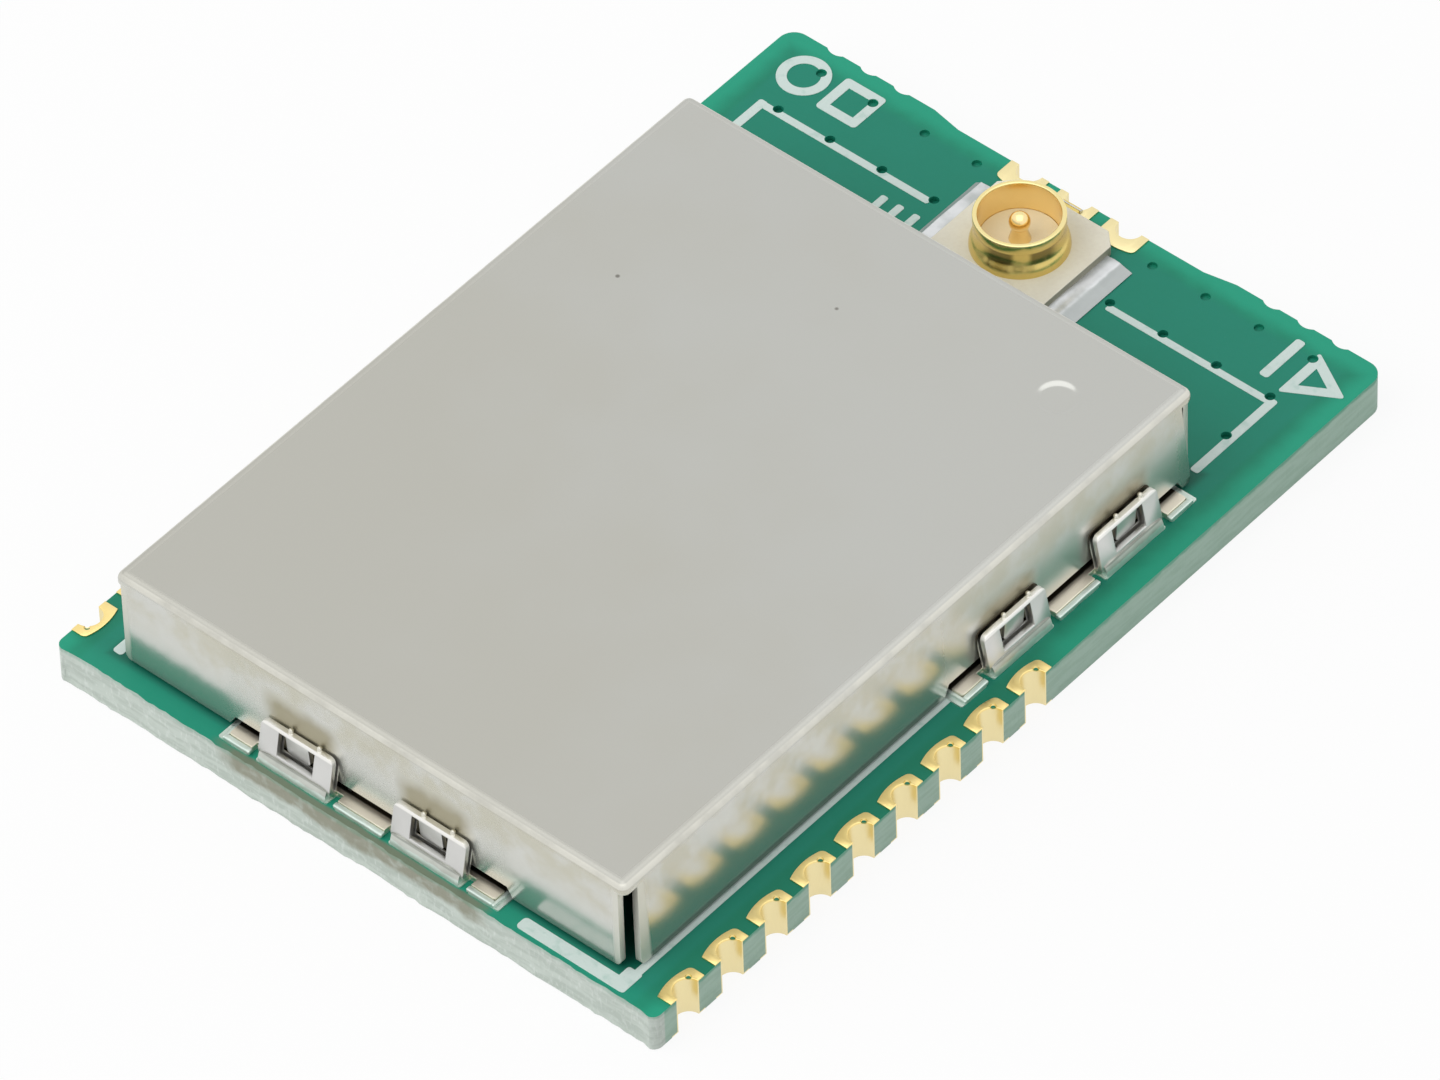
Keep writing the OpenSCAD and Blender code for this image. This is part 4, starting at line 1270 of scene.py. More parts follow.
@dataclass
class EdgePads:
    """Gold plated half-holes with their lands, in three rows."""

    pitch: float = 1.4
    count: int = 9
    first: float = 1.06
    width: float = 1.06
    reach: float = 0.46
    radio_count: int = 3
    radio_reach: float = 0.65
    bulge: float = 0.1
    land_cuts: int = 6
    corner: float = 0.24
    hole: float = 0.32
    hole_steps: int = 28
    plating: float = 0.035
    pit: float = 0.075
    pit_flat: float = 0.7
    pit_turn: float = math.radians(218.0)
    soft: float = 0.01
    welds: Pair = (0.035 / 8, 5e-4)

    def side_places(self, board: Board, side: int) -> list[tuple[Pair, float]]:
        """Gives the place and turn of each pad on a long side, 1 for right and -1 for left."""
        return [((side * board.width / 2, board.front + self.first + i * self.pitch), -side * math.pi / 2)
                for i in range(self.count)]

    def radio_places(self, board: Board) -> list[tuple[Pair, float]]:
        """Gives the place and turn of each pad on the far edge."""
        middle = (self.radio_count - 1) / 2
        return [(((i - middle) * self.pitch, board.routed), 0.0) for i in range(self.radio_count)]

    def all_places(self, board: Board) -> list[tuple[Pair, float]]:
        """Gives the place and turn of every pad."""
        return self.side_places(board, 1) + self.side_places(board, -1) + self.radio_places(board)

    def _land(self, reach: float, low: float, high: float) -> Piece:
        """Makes a land, its edge on the X axis and its inner edge bulging, round at one end or at both.

        Args:
            reach: Its depth in from the edge.
            low: Height of its underside.
            high: Height of its top.

        Returns:
            The land.
        """
        half = self.width / 2
        land = Piece.block("land", (-half, -reach, low), (half, 0.0, high))
        land.slice(Axis.X, [half * i / self.land_cuts for i in range(1 - self.land_cuts, self.land_cuts)])

        def swell(spot: Vector) -> Vector:
            """Draws the ends of the inner edge back towards the board's edge."""
            return spot + Vector((0.0, self.bulge * (spot.x / half) ** 2 if spot.y < -reach / 2 else 0.0, 0.0))

        land.shift_points(swell)
        both = reach > self.reach
        land.bevel(lambda spot, way: along(Axis.Z)(spot, way) and spot.y < -reach / 2
                   and (near(spot.x, -half) or (both and near(spot.x, half))), self.corner, 5)
        return land

    def land_tools(self, board: Board) -> list[Piece]:
        """Makes the cutters of the recesses that the lower lands fill.

        Args:
            board: The board that they are cut into.

        Returns:
            The cutters.
        """
        tools = []
        for reach, places in ((self.reach, self.side_places(board, 1) + self.side_places(board, -1)),
                              (self.radio_reach, self.radio_places(board))):
            land = self._land(reach, -OVERCUT, self.plating)
            tools += [land.copy("recess", turn, (*spot, 0.0)) for spot, turn in places]
            land.discard()
        return tools

    def _pad(self, board: Board, reach: float) -> Piece:
        """Models one pad: the half-round barrel and its two lands, with a pit in a long side's pads.

        Args:
            board: The board that it sits in.
            reach: Depth of the lands in from the edge.

        Returns:
            The pad, with its edge on the X axis.
        """
        top = board.thickness + self.plating
        pad = Piece.block("barrel", (self.hole, -self.plating, 0.0), (board.drill, 0.0, top))
        pad.open(lambda spot, way: not way.y > FACING)
        pad.spin(everything, -math.pi, ORIGIN, Axis.Z, self.hole_steps)
        for low, high in ((0.0, self.plating), (board.thickness, top)):
            land = self._land(reach, low, high)
            land.cut(Piece.rod("drill", (0.0, 0.0, -OVERCUT), (self.hole + board.drill) / 2, top + 2 * OVERCUT,
                               2 * self.hole_steps))
            pad.fuse(land)
        pad.clean(self.welds[0])
        pad.soften(self.soft)
        if reach == self.reach:
            spot = Vector((math.cos(self.pit_turn), math.sin(self.pit_turn))) * board.drill
            pad.cut(Piece.ball("pit", (*spot, top), (self.pit, self.pit, self.pit * self.pit_flat), 16))
        pad.clean(self.welds[1])
        pad.shift_points(lambda spot: Vector((spot.x, min(spot.y, 0.0), spot.z)))
        return pad

    def build(self, finishes: Finishes, board: Board) -> None:
        """Models and dresses the three rows.

        Args:
            finishes: The module's materials.
            board: The board that they sit in.
        """
        side, radio = (self._pad(board, reach) for reach in (self.reach, self.radio_reach))
        for name, node, pad, places in (
                ("right_edge_pads", "pads_right", side, self.side_places(board, 1)),
                ("left_edge_pads", "pads_left", side, self.side_places(board, -1)),
                ("radio_edge_pads", "pads_rf", radio, self.radio_places(board))):
            row = Piece.join(*[pad.copy(name, turn, (*spot, 0.0)) for spot, turn in places])
            row.finish("gold_plating", (finishes.pads,), (node,))
        side.discard(radio)


@dataclass
class ShieldCan:
    """The folded can: spreading side walls, open corner slots, notches over the clips, and a dimple on top."""

    low: Vector
    high: Vector
    flare: float = 0.16
    wall: float = 0.16
    fold: float = 0.19
    slot: float = 0.26
    slot_head: float = 0.27
    slot_round: float = 0.11
    slot_slant: float = 0.16
    corner: float = 0.15
    foot_slack: float = 0.02
    notch_half: float = 3.78
    notch_run: float = 0.15
    notch_height: float = 0.27
    side_back: float = 4.5
    dimple: float = 0.54
    dimple_floor: float = 0.4
    dimple_depth: float = 0.06
    dimple_in: Pair = (2.06, 2.03)
    dimple_soft: float = 0.05
    dish: float = 0.3
    dish_lip: float = 0.001
    dish_sides: int = 72
    soft: float = 0.02

    @property
    def shoulder(self) -> float:
        """Half the can's width between its upper folds."""
        return self.high.x - self.flare

    @property
    def end_edge(self) -> float:
        """Half the width of an end wall."""
        return self.shoulder - self.wall

    def walls(self) -> dict[str, tuple[float, Pair]]:
        """Gives the clips' stretches of wall.

        Returns:
            The turn and the place of the middle of each one.
        """
        side_y = self.high.y - self.side_back
        return {"front": (math.pi, (0.0, self.low.y)), "rear": (0.0, (0.0, self.high.y)),
                "right": (-math.pi / 2, (self.high.x, side_y)), "left": (math.pi / 2, (self.low.x, side_y))}

    def _slot_tools(self) -> list[Piece]:
        """Makes the cutters that end the side walls short of the end walls.

        Returns:
            The cutters, slanting at their inner ends.
        """
        tools = []
        for side in SIDES:
            across = sorted((side * self.end_edge, side * (self.high.x + OVERCUT)))
            for face, inward in ((self.low.y, 1), (self.high.y, -1)):
                end = face + inward * self.slot
                run = sorted((face - inward * OVERCUT, end))
                tool = Piece.block("slot", (across[0], run[0], self.low.z - OVERCUT),
                                   (across[1], run[1], self.high.z - self.slot_head))
                tool.push(lambda spot, way: near(spot.y, end) and spot.z > self.low.z,
                          (0.0, inward * self.slot_slant, 0.0))
                tools.append(tool)
        return tools

    def _notch_tools(self) -> list[Piece]:
        """Makes the cutters of the notches over the clips, wider at their feet.

        Returns:
            A cutter for each wall.
        """
        notch = Piece.block("notch", (-self.notch_half, -OVERCUT, -self.notch_height),
                            (self.notch_half, OVERCUT, self.notch_height))
        spread = 1.0 + 2 * self.notch_run / self.notch_half
        notch.grow(lambda spot, way: spot.z < 0, (spread, 1.0, 1.0))
        tools = [notch.copy("notch", turn, (*spot, self.low.z)) for turn, spot in self.walls().values()]
        notch.discard()
        return tools

    def _by_slot(self, spot: Vector) -> bool:
        """Says whether a spot is as far along as the cut end of a side wall."""
        return any(near(spot.y, end, self.slot_slant) for end in (self.low.y + self.slot, self.high.y - self.slot))

    def _is_lower_corner(self, spot: Vector, way: Vector) -> bool:
        """Says whether an edge is at a lower corner of a wall, beside a slot.

        Args:
            spot: The edge's middle.
            way: Its run.

        Returns:
            Whether it is.
        """
        if abs(spot.z - self.low.z) > self.foot_slack:
            return False
        run = way.normalized()
        if abs(run.y) > MOSTLY:
            return near(abs(spot.x), self.end_edge, LOOSE)
        return abs(run.x) > MOSTLY and self._by_slot(spot)

    def _is_slot_edge(self, spot: Vector, way: Vector) -> bool:
        """Says whether an edge runs up a slot, on the outside of a wall's cut end.

        Args:
            spot: The edge's middle.
            way: Its run.

        Returns:
            Whether it does.
        """
        if abs(way.normalized().z) < MOSTLY:
            return False
        half = self.wall / 2
        if near(abs(spot.x), self.end_edge, LOOSE):
            return spot.y < self.low.y + half or spot.y > self.high.y - half
        spread = self.flare * (self.high.z - spot.z) / (self.high.z - self.low.z)
        return abs(spot.x) > self.shoulder + spread - half and self._by_slot(spot)

    def _dish(self) -> Piece:
        """Makes the cutter of the dimple.

        Returns:
            The cutter, in its place.
        """
        middle = (self.shoulder - self.dimple_in[0], self.high.y - self.dimple_in[1])
        floor = self.high.z - self.dimple_depth
        dish = Piece.rod("dish", (*middle, floor), self.dimple, self.dish, self.dish_sides)
        dish.slice(Axis.Z, [self.high.z + self.dish_lip])
        inner = self.dimple_floor / self.dimple
        dish.grow(lambda spot, way: near(spot.z, floor), (inner, inner, 1.0), (*middle, floor))
        dish.bevel(level_at(floor), self.dimple_soft, 4)
        return dish

    def build(self, finishes: Finishes) -> None:
        """Models and dresses the can.

        Args:
            finishes: The module's materials.
        """
        can = Piece.block("shield_can_shell", (-self.shoulder, self.low.y, self.low.z),
                          (self.shoulder, self.high.y, self.high.z))
        can.open(lambda spot, way: way.z < -FACING)
        can.grow(lambda spot, way: near(spot.z, self.low.z), (self.high.x / self.shoulder, 1.0, 1.0))
        can.bevel(lambda spot, way: near(spot.z, self.high.z) or abs(way.normalized().z) > FACING, self.fold, 6)
        can.modify("SOLIDIFY", thickness=self.wall, offset=-1.0, use_even_offset=True)
        can.cut(*self._slot_tools(), *self._notch_tools())
        can.bevel(self._is_lower_corner, self.corner, 5)
        can.bevel(self._is_slot_edge, self.slot_round, 4)
        can.cut(self._dish())
        can.soften(self.soft, 2, 50.0)
        can.finish("can_sheet", (finishes.can,), ("shield_can",), 30.0)


@dataclass
class SpringClip:
    """A clip bent from one sheet: windowed arms outside the can's wall, a finger inside, feet on the board."""

    finger_root: float
    length: float = 7.4
    sheet: float = 0.12
    height: float = 1.04
    bend: float = 0.1
    bend_steps: int = 9
    stub: float = 0.05
    lean: float = math.radians(12.0)
    arm_width: float = 2.0
    arm_pitch: float = 3.7
    arm_stand: float = 0.04
    arm_corner: float = 0.15
    window: Pair = (1.0, 0.6)
    sill: float = 0.34
    tongue_width: float = 0.64
    tongue_gap: float = 0.06
    tongue_round: float = 0.12
    tongue_root: float = 0.04
    tongue_taper: Triple = (0.9, 0.6, 1.0)
    spring_gap: float = 0.02
    peg: float = 0.06
    peg_sides: int = 20
    peg_round: float = 0.95
    peg_pitch: float = 0.8
    peg_shift: float = 0.16
    peg_rise: float = 0.12
    foot_out: float = 0.3
    foot_corner: float = 0.06
    base_in: float = 0.46
    relief: float = 0.2
    finger_width: float = 1.2
    finger_height: float = 0.95
    soft: float = 0.012
    soft_angle: float = 50.0

    @property
    def bend_out(self) -> float:
        """Outer radius of the bends."""
        return self.bend + self.sheet

    @property
    def skin(self) -> float:
        """Thickness of a leaning arm, measured level."""
        return self.sheet / math.cos(self.lean)

    @property
    def arm_root(self) -> float:
        """Distance from the can's wall to the start of an arm's bend."""
        bend_end = self.bend_out + self.bend * math.sin(self.lean)
        return self.arm_inner(bend_end) - self.bend * math.cos(self.lean)

    def arm_inner(self, height: float) -> float:
        """Gives the distance from the can's wall to an arm's inner face at a height."""
        return self.arm_stand + (self.height - height) * math.tan(self.lean)

    def _bent_strip(self, width: float, root: float, height: float, lean: float) -> Piece:
        """Models a strip that runs out along Y, bends up and leans back.

        Args:
            width: Its width along X.
            root: Where the bend starts along Y.
            height: Height of its upper end.
            lean: Its lean back towards the wall, in radians.

        Returns:
            The strip.
        """
        strip = Piece.block("strip", (-width / 2, root - self.stub, 0.0), (width / 2, root, self.sheet))
        strip.spin(lambda spot, way: way.y > FACING, math.pi / 2 + lean, (0.0, root, self.bend_out), Axis.X,
                   self.bend_steps)
        rise = Vector((0.0, -math.sin(lean), math.cos(lean)))
        strip.extrude(lambda spot, way: way.dot(rise) > MOSTLY and spot.z > self.sheet, rise * height)

        def level(spot: Vector) -> Vector:
            """Slides a point of the upper end along the strip to its height."""
            return spot if spot.z < height / 2 else spot + rise * ((height - spot.z) / rise.z)

        strip.shift_points(level)
        return strip

    def _tongue(self) -> Piece:
        """Models the spring tongue, which hangs from the window's head close to the can.

        Returns:
            The tongue.
        """
        head = self.sill + self.window[1]
        half, inner = self.tongue_width / 2, self.arm_inner(head)
        tongue = Piece.block("tongue", (-half, inner, self.sill + self.tongue_gap), (half, inner + self.skin, head))
        middle = head - self.window[1] / 2
        tongue.push(lambda spot, way: spot.z < middle, (0.0, self.spring_gap - inner, 0.0))
        tongue.bevel(lambda spot, way: along(Axis.Y)(spot, way) and spot.z < middle, self.tongue_round, 4)
        slant = -self.tongue_root * math.tan(self.lean)
        tongue.extrude(lambda spot, way: way.z > FACING, (0.0, slant, self.tongue_root))
        tongue.grow(lambda spot, way: spot.z > head + self.tongue_root / 2, self.tongue_taper,
                    (0.0, inner + self.skin / 2 + slant, 0.0))
        tongue.soften(self.soft, 2, self.soft_angle)
        return tongue

    def _pegs(self) -> list[Piece]:
        """Models the round-ended contact pegs that stand up out of an arm's head.

        Returns:
            The two pegs.
        """
        foot = (self.sill + self.window[1] + self.height) / 2
        top = self.height + self.peg_rise
        pegs = []
        for side in SIDES:
            spot = (side * self.peg_pitch / 2 - self.peg_shift, self.spring_gap + self.peg, foot)
            pegs.append(Piece.rod("peg", spot, self.peg, top - foot, self.peg_sides))
            pegs[-1].bevel(level_at(top), self.peg * self.peg_round, 5)
        return pegs

    def _arm(self) -> Piece:
        """Models an outer arm with its window, tongue and pegs.

        Returns:
            The arm.
        """
        arm = self._bent_strip(self.arm_width, self.arm_root, self.height, self.lean)
        arm.bevel(lambda spot, way: along(Axis.Y)(spot, way) and near(spot.z, self.height, LOOSE)
                  and near(abs(spot.x), self.arm_width / 2, LOOSE), self.arm_corner, 5)
        half = self.window[0] / 2
        arm.cut(Piece.block("window", (-half, -OVERCUT, self.sill),
                            (half, self.foot_out + OVERCUT, self.sill + self.window[1])))
        arm.soften(self.soft, 2, self.soft_angle)
        arm.fuse(self._tongue(), *self._pegs())
        return arm

    def _plate(self, name: str) -> Piece:
        """Models the flat base plate with its reliefs.

        Args:
            name: Name of the piece.

        Returns:
            The plate.
        """
        half = self.length / 2
        plate = Piece.block(name, (-half, -self.base_in, 0.0), (half, self.foot_out, self.sheet))
        arm_half = self.arm_width / 2 + self.relief
        tools = [Piece.block("relief", (side * self.arm_pitch / 2 - arm_half, self.arm_root, -OVERCUT),
                             (side * self.arm_pitch / 2 + arm_half, self.foot_out + OVERCUT, OVERCUT))
                 for side in SIDES]
        finger_half = self.finger_width / 2 + self.relief
        tools.append(Piece.block("relief", (-finger_half, -self.base_in - OVERCUT, -OVERCUT),
                                 (finger_half, -self.finger_root, OVERCUT)))
        plate.cut(*tools)
        plate.bevel(lambda spot, way: along(Axis.Z)(spot, way) and near(abs(spot.x), half, LOOSE),
                    self.foot_corner, 4)
        plate.soften(self.soft, 2, self.soft_angle)
        return plate

    def build(self, name: str) -> Piece:
        """Models a clip with the can's wall on the X axis and its outside towards +Y.

        Args:
            name: Name of the piece.

        Returns:
            The clip.
        """
        clip = self._plate(name)
        finger = self._bent_strip(self.finger_width, self.finger_root, self.finger_height, 0.0)
        arm = self._arm()
        clip.fuse(finger.copy("finger", math.pi, ORIGIN),
                  *[arm.copy("arm", 0.0, (side * self.arm_pitch / 2, 0.0, 0.0)) for side in SIDES])
        finger.discard(arm)
        return clip


@dataclass
class ClipSolder:
    """Solder under one clip: a bed, beads round its feet, and steep wedges up its arms."""

    clip: SpringClip
    rim: float = 0.14
    end: float = 0.2
    corner: float = 0.05
    bed_parts: int = 40
    bed_waves: Pair = (2.6, 2.0)
    sunk: float = 0.01
    gap: float = 0.004
    overlap: float = 0.03
    bead: float = 0.11
    bead_soft: float = 0.03
    bead_parts: int = 8
    bead_waves: float = 2.8
    bead_sway: Pair = (0.86, 0.14)
    end_bead: float = 0.09
    end_share: float = 0.8
    end_start: float = -0.1
    end_short: float = 0.01
    end_seed: float = 7.0
    climb: float = 0.28
    tip: float = 0.035
    belly: float = 0.012
    inset: float = 0.06
    uneven: float = 0.02
    wedge_parts: int = 18
    wedge_layers: int = 8
    wedge_waves: float = 2.2
    wedge_sway: float = 0.1
    wedge_flat: float = 0.7
    wedge_fall: float = 0.12
    wedge_seed: float = 3.0

    @property
    def out(self) -> float:
        """Distance from the can's wall to the bed's outer edge."""
        return self.clip.foot_out + self.rim

    def feet(self) -> list[Pair]:
        """Gives both ends of each foot of the base plate along X.

        Returns:
            The left, middle and right foot.
        """
        clip = self.clip
        inner = clip.arm_pitch / 2 - clip.arm_width / 2 - clip.relief
        outer = clip.arm_pitch / 2 + clip.arm_width / 2 + clip.relief
        half = clip.length / 2
        return [(-half, -outer), (-inner, inner), (outer, half)]

    def _bed(self, name: str) -> Piece:
        """Models the bed, cut away where the plate's reliefs show the board.

        Args:
            name: Name of the piece.

        Returns:
            The bed.
        """
        clip = self.clip
        half = clip.length / 2 + self.end
        bed = Piece.block(name, (-half, -clip.base_in - self.rim, -SOLDER_BED), (half, self.out, 0.0))
        tools = []
        for arm in SIDES:
            for side in SIDES:
                edge = arm * clip.arm_pitch / 2 + side * clip.arm_width / 2
                low, high = sorted((edge, edge + side * clip.relief))
                tools.append(Piece.block("gap", (low, clip.arm_root, -OVERCUT), (high, self.out + OVERCUT, OVERCUT)))
        bed.cut(*tools)
        bed.bevel(along(Axis.Z), self.corner, 3)
        bed.slice(Axis.X, marks(-half, half, self.bed_parts))

        def sway(spot: Vector) -> Vector:
            """Draws a point of the bed's outer edge in a little."""
            pull = waver(spot.x * self.bed_waves[0] + 2.0, spot.y * self.bed_waves[1], 0.5)
            return spot + Vector((0.0, -abs(self.uneven * pull) if spot.y > 0 else 0.0, 0.0))

        bed.shift_points(sway)
        return bed

    def _bead(self, low: Triple, high: Triple, seed: float) -> Piece:
        """Models a rounded ridge of solder that rises and falls along its run.

        Args:
            low: Its lowest corner.
            high: Its highest corner.
            seed: Start of its unevenness.

        Returns:
            The ridge.
        """
        bead = Piece.block("bead", low, high)
        bead.soften(self.bead_soft, 4)
        axis, i = (Axis.X, 0) if high[0] - low[0] > high[1] - low[1] else (Axis.Y, 1)
        parts = max(3, round((high[i] - low[i]) * self.bead_parts))
        bead.slice(axis, marks(low[i], high[i], parts))
        even, sway = self.bead_sway

        def swell(spot: Vector) -> Vector:
            """Scales the height of a point above the bed."""
            rise = even + sway * waver(spot.x * self.bead_waves + seed, spot.y * self.bead_waves, 4.0)
            return Vector((spot.x, spot.y, spot.z * rise if spot.z > 0 else spot.z))

        bead.shift_points(swell)
        return bead

    def _beads(self) -> list[Piece]:
        """Models the ridges along the feet and round the clip's two ends.

        Returns:
            The ridges.
        """
        front, half = self.clip.foot_out + self.gap, self.clip.length / 2
        beads = [self._bead((low - self.overlap, front, -self.sunk), (high + self.overlap, self.out, self.bead),
                            float(seed)) for seed, (low, high) in enumerate(self.feet())]
        for side in SIDES:
            low, high = sorted((side * (half + self.gap), side * (half + self.end_bead)))
            beads.append(self._bead((low, self.end_start, -self.sunk),
                                    (high, self.out - self.end_short, self.bead * self.end_share),
                                    side * self.end_seed))
        return beads

    def _arm_face(self, height: float) -> float:
        """Gives the distance from the can's wall to an arm's outer face.

        Args:
            height: Height over the arm's foot.

        Returns:
            The distance.
        """
        radius = self.clip.bend_out
        if height > radius:
            return self.clip.arm_inner(height) + self.clip.skin
        return self.clip.arm_root + math.sqrt(max(0.0, radius ** 2 - (radius - max(0.0, height)) ** 2))

    def _wedge(self, seed: float) -> Piece:
        """Models the steep wedge of solder that climbs an arm's bend.

        Args:
            seed: Start of its unevenness.

        Returns:
            The wedge, with the arm's middle on the Y axis.
        """
        half, root = self.clip.arm_width / 2 - self.inset, self.clip.arm_root
        wedge = Piece.block("wedge", (-half, root, -self.sunk), (half, self.out, self.climb))
        wedge.slice(Axis.X, marks(-half, half, self.wedge_parts))
        wedge.slice(Axis.Z, marks(0.0, self.climb, self.wedge_layers))
        crest = self._arm_face(self.climb) + self.tip

        def wet(spot: Vector) -> Vector:
            """Lays the back against the arm, and slopes and rounds the face.

            Args:
                spot: A point.

            Returns:
                Its new place.
            """
            up = max(0.0, spot.z / self.climb)
            end = max(0.0, abs(spot.x) / half - self.wedge_flat) / (1.0 - self.wedge_flat)
            ripple = waver(spot.x * self.wedge_waves + seed, 1.5, 1.7)
            height = spot.z
            if height > 0:
                height *= 1.0 - self.wedge_fall * end * end + self.wedge_sway * ripple
            back = max(root, self._arm_face(height) - self.overlap)
            if spot.y < (root + self.out) / 2:
                return Vector((spot.x, back, height))
            face = self.out + (crest - self.out) * up + self.belly * math.sin(math.pi * up)
            face -= self.uneven * abs(ripple) * (1.0 - up)
            return Vector((spot.x, max(back + self.gap, face), height))

        wedge.shift_points(wet)
        return wedge

    def build(self, name: str) -> Piece:
        """Models the solder of one clip, in the clip's own place.

        Args:
            name: Name of the piece.

        Returns:
            The solder.
        """
        wedges = []
        for side in SIDES:
            wedge = self._wedge(side * self.wedge_seed)
            wedges.append(wedge.copy("wedge", 0.0, (side * self.clip.arm_pitch / 2, 0.0, 0.0)))
            wedge.discard()
        return self._bed(name).join(*self._beads(), *wedges)


@dataclass
class CoaxConnector:
    """The micro coaxial connector: pale base, gold ring with tabs, gold contact with its tail, and their solder."""

    seat: float
    base: Triple = (3.2, 3.0, 0.27)
    base_soft: float = 0.03
    chamfer: float = 0.35
    floor: float = 0.42
    cut_out: float = 2.0
    cut_drop: float = 0.1
    cut_height: float = 1.0
    ring: float = 1.03
    bore: float = 0.92
    bore_floor: float = 0.15
    ring_height: float = 1.18
    ring_steps: int = 8
    rim_height: float = 0.22
    rim_soft: float = 0.03
    groove: float = 0.04
    collar_out: float = 0.09
    collar_height: float = 0.29
    collar_step: float = 0.02
    pin: float = 0.17
    pin_foot: float = 0.25
    pin_cone: float = 0.26
    pin_ball: float = 0.241
    pin_height: float = 1.16
    tab: float = 0.08
    tab_length: float = 2.0
    tab_out: float = 0.35
    tab_lap: float = 0.001
    tail_width: float = 0.5
    tail: float = 0.07
    tail_out: float = 0.3
    tail_clear: float = 0.05
    metal_soft: float = 0.02
    spread: Pair = (0.15, 0.34)
    skin: float = 0.025
    heap_lap: float = 0.02
    heap_side: float = 0.03
    heap_steps: Triple = (0.24, 0.47, 0.68)
    heap_rows: int = 14
    heap_sunk: float = 0.01
    heap_curve: float = 0.8
    heap_waves: Pair = (5.5, 1.3)
    heap_sway: float = 0.024
    heap_seed: float = 2.0
    toe: float = 0.05
    toe_waves: float = 2.0
    toe_sway: float = 0.03
    bead_back: float = 0.08
    bead_run: float = 0.1
    bead_lap: float = 0.02
    bead_end: float = 0.4
    sides: int = 80
    ball_sides: int = 36

    def _place(self, piece: Piece) -> Piece:
        """Puts a piece on the connector's axis, at the height of its lands."""
        piece.thing.location = (0.0, COAX_Y, self.seat)
        return piece.settle()

    def _girth(self, ring: Piece, height: float, radius: float) -> None:
        """Sets the outer radius of the ring's loop at a height."""
        factor, middle = radius / self.ring, (self.ring + self.bore) / 2
        ring.grow(lambda spot, way: near(spot.z, height) and spot.to_2d().length > middle, (factor, factor, 1.0))

    def _shell(self) -> Piece:
        """Models the ring with its rim, groove and collar, and the ground tabs.

        Returns:
            The ring and tabs, in their place.
        """
        ring = Piece.rod("coax_ring", (0.0, 0.0, self.tab), self.ring, self.ring_height - self.tab, self.sides)
        ring.inset(lambda spot, way: way.z > FACING, self.ring - self.bore)
        ring.extrude(lambda spot, way: way.z > FACING and spot.to_2d().length < self.bore / 2,
                     (0.0, 0.0, self.tab - self.ring_height + self.bore_floor))
        foot = self.base[2]
        shoulder, waist = foot + self.collar_height, self.ring_height - self.rim_height
        hollow = marks(shoulder, waist, self.ring_steps)
        bulge = [foot, *marks(foot, shoulder, self.ring_steps)]
        ring.slice(Axis.Z, [foot - self.collar_step, *bulge, shoulder, *hollow, waist])
        for i, height in enumerate(hollow, 1):
            self._girth(ring, height, self.ring - self.groove * math.sin(math.pi * i / self.ring_steps))
        rounding = (self.collar_height ** 2 + self.collar_out ** 2) / (2 * self.collar_out)
        for height in bulge:
            sag = rounding - math.sqrt(rounding ** 2 - (height - foot) ** 2)
            self._girth(ring, height, self.ring + self.collar_out - sag)
        ring.bevel(level_at(self.ring_height), self.rim_soft, 4)
        gap = self.tail_width / 2 + self.tail_clear
        ring.cut(Piece.block("gap", (-gap, 0.0, 0.0), (gap, self.ring + OVERCUT, self.tail + self.tail_clear)))
        end = self.base[0] / 2 + self.tab_out
        for side in SIDES:
            low, high = sorted((side * self.bore, side * end))
            tab = Piece.block("tab", (low, -self.tab_length / 2, 0.0),
                              (high, self.tab_length / 2, self.tab + self.tab_lap))
            tab.soften(self.metal_soft, 3)
            ring.fuse(tab)
        return self._place(ring)

    def _contact(self) -> Piece:
        """Models the centre contact with its ball tip and spreading foot, and its tail.

        Returns:
            The contact, in its place.
        """
        middle = self.pin_height - self.pin_ball
        pin = Piece.rod("coax_pin", ORIGIN, self.pin, middle)
        pin.slice(Axis.Z, [self.floor, self.floor + self.pin_cone])
        flare = self.pin_foot / self.pin
        pin.grow(lambda spot, way: spot.z < self.floor + LOOSE, (flare, flare, 1.0))
        pin.fuse(Piece.ball("tip", (0.0, 0.0, middle), (self.pin_ball,) * 3, self.ball_sides))
        half, end = self.tail_width / 2, self.base[1] / 2 + self.tail_out
        tail = Piece.block("tail", (-half, 0.0, 0.0), (half, end, self.tail))
        tail.soften(self.metal_soft, 3)
        pin.fuse(tail)
        return self._place(pin)

    def _moulding(self) -> Piece:
        """Models the plastic base, moulded round the ring's foot, the tabs and the tail.

        Returns:
            The base, in its place.
        """
        half_x, half_y, height = self.base[0] / 2, self.base[1] / 2, self.base[2]
        base = Piece.block("coax_base", (-half_x, -half_y, 0.0), (half_x, half_y, height))
        base.bevel(lambda spot, way: along(Axis.Z)(spot, way) and spot.y > 0, self.chamfer, 1)
        base.soften(self.base_soft, 3)
        base.cut(Piece.rod("socket", (0.0, 0.0, self.tab), self.ring, self.cut_height, self.sides))
        half = self.tab_length / 2
        base.cut(Piece.block("slot", (-self.cut_out, -half, -self.cut_drop), (self.cut_out, half, self.tab)))
        floor = Piece.rod("floor", (0.0, 0.0, self.tab), self.bore, self.floor - self.tab, self.sides)
        floor.bevel(level_at(self.floor), self.base_soft, 2)
        floor.cut(Piece.rod("hole", ORIGIN, self.pin_foot, self.cut_height))
        base.join(floor)
        half = self.tail_width / 2
        base.cut(Piece.block("slot", (-half, 0.0, -self.cut_drop), (half, self.cut_out, self.tail)))
        return self._place(base)

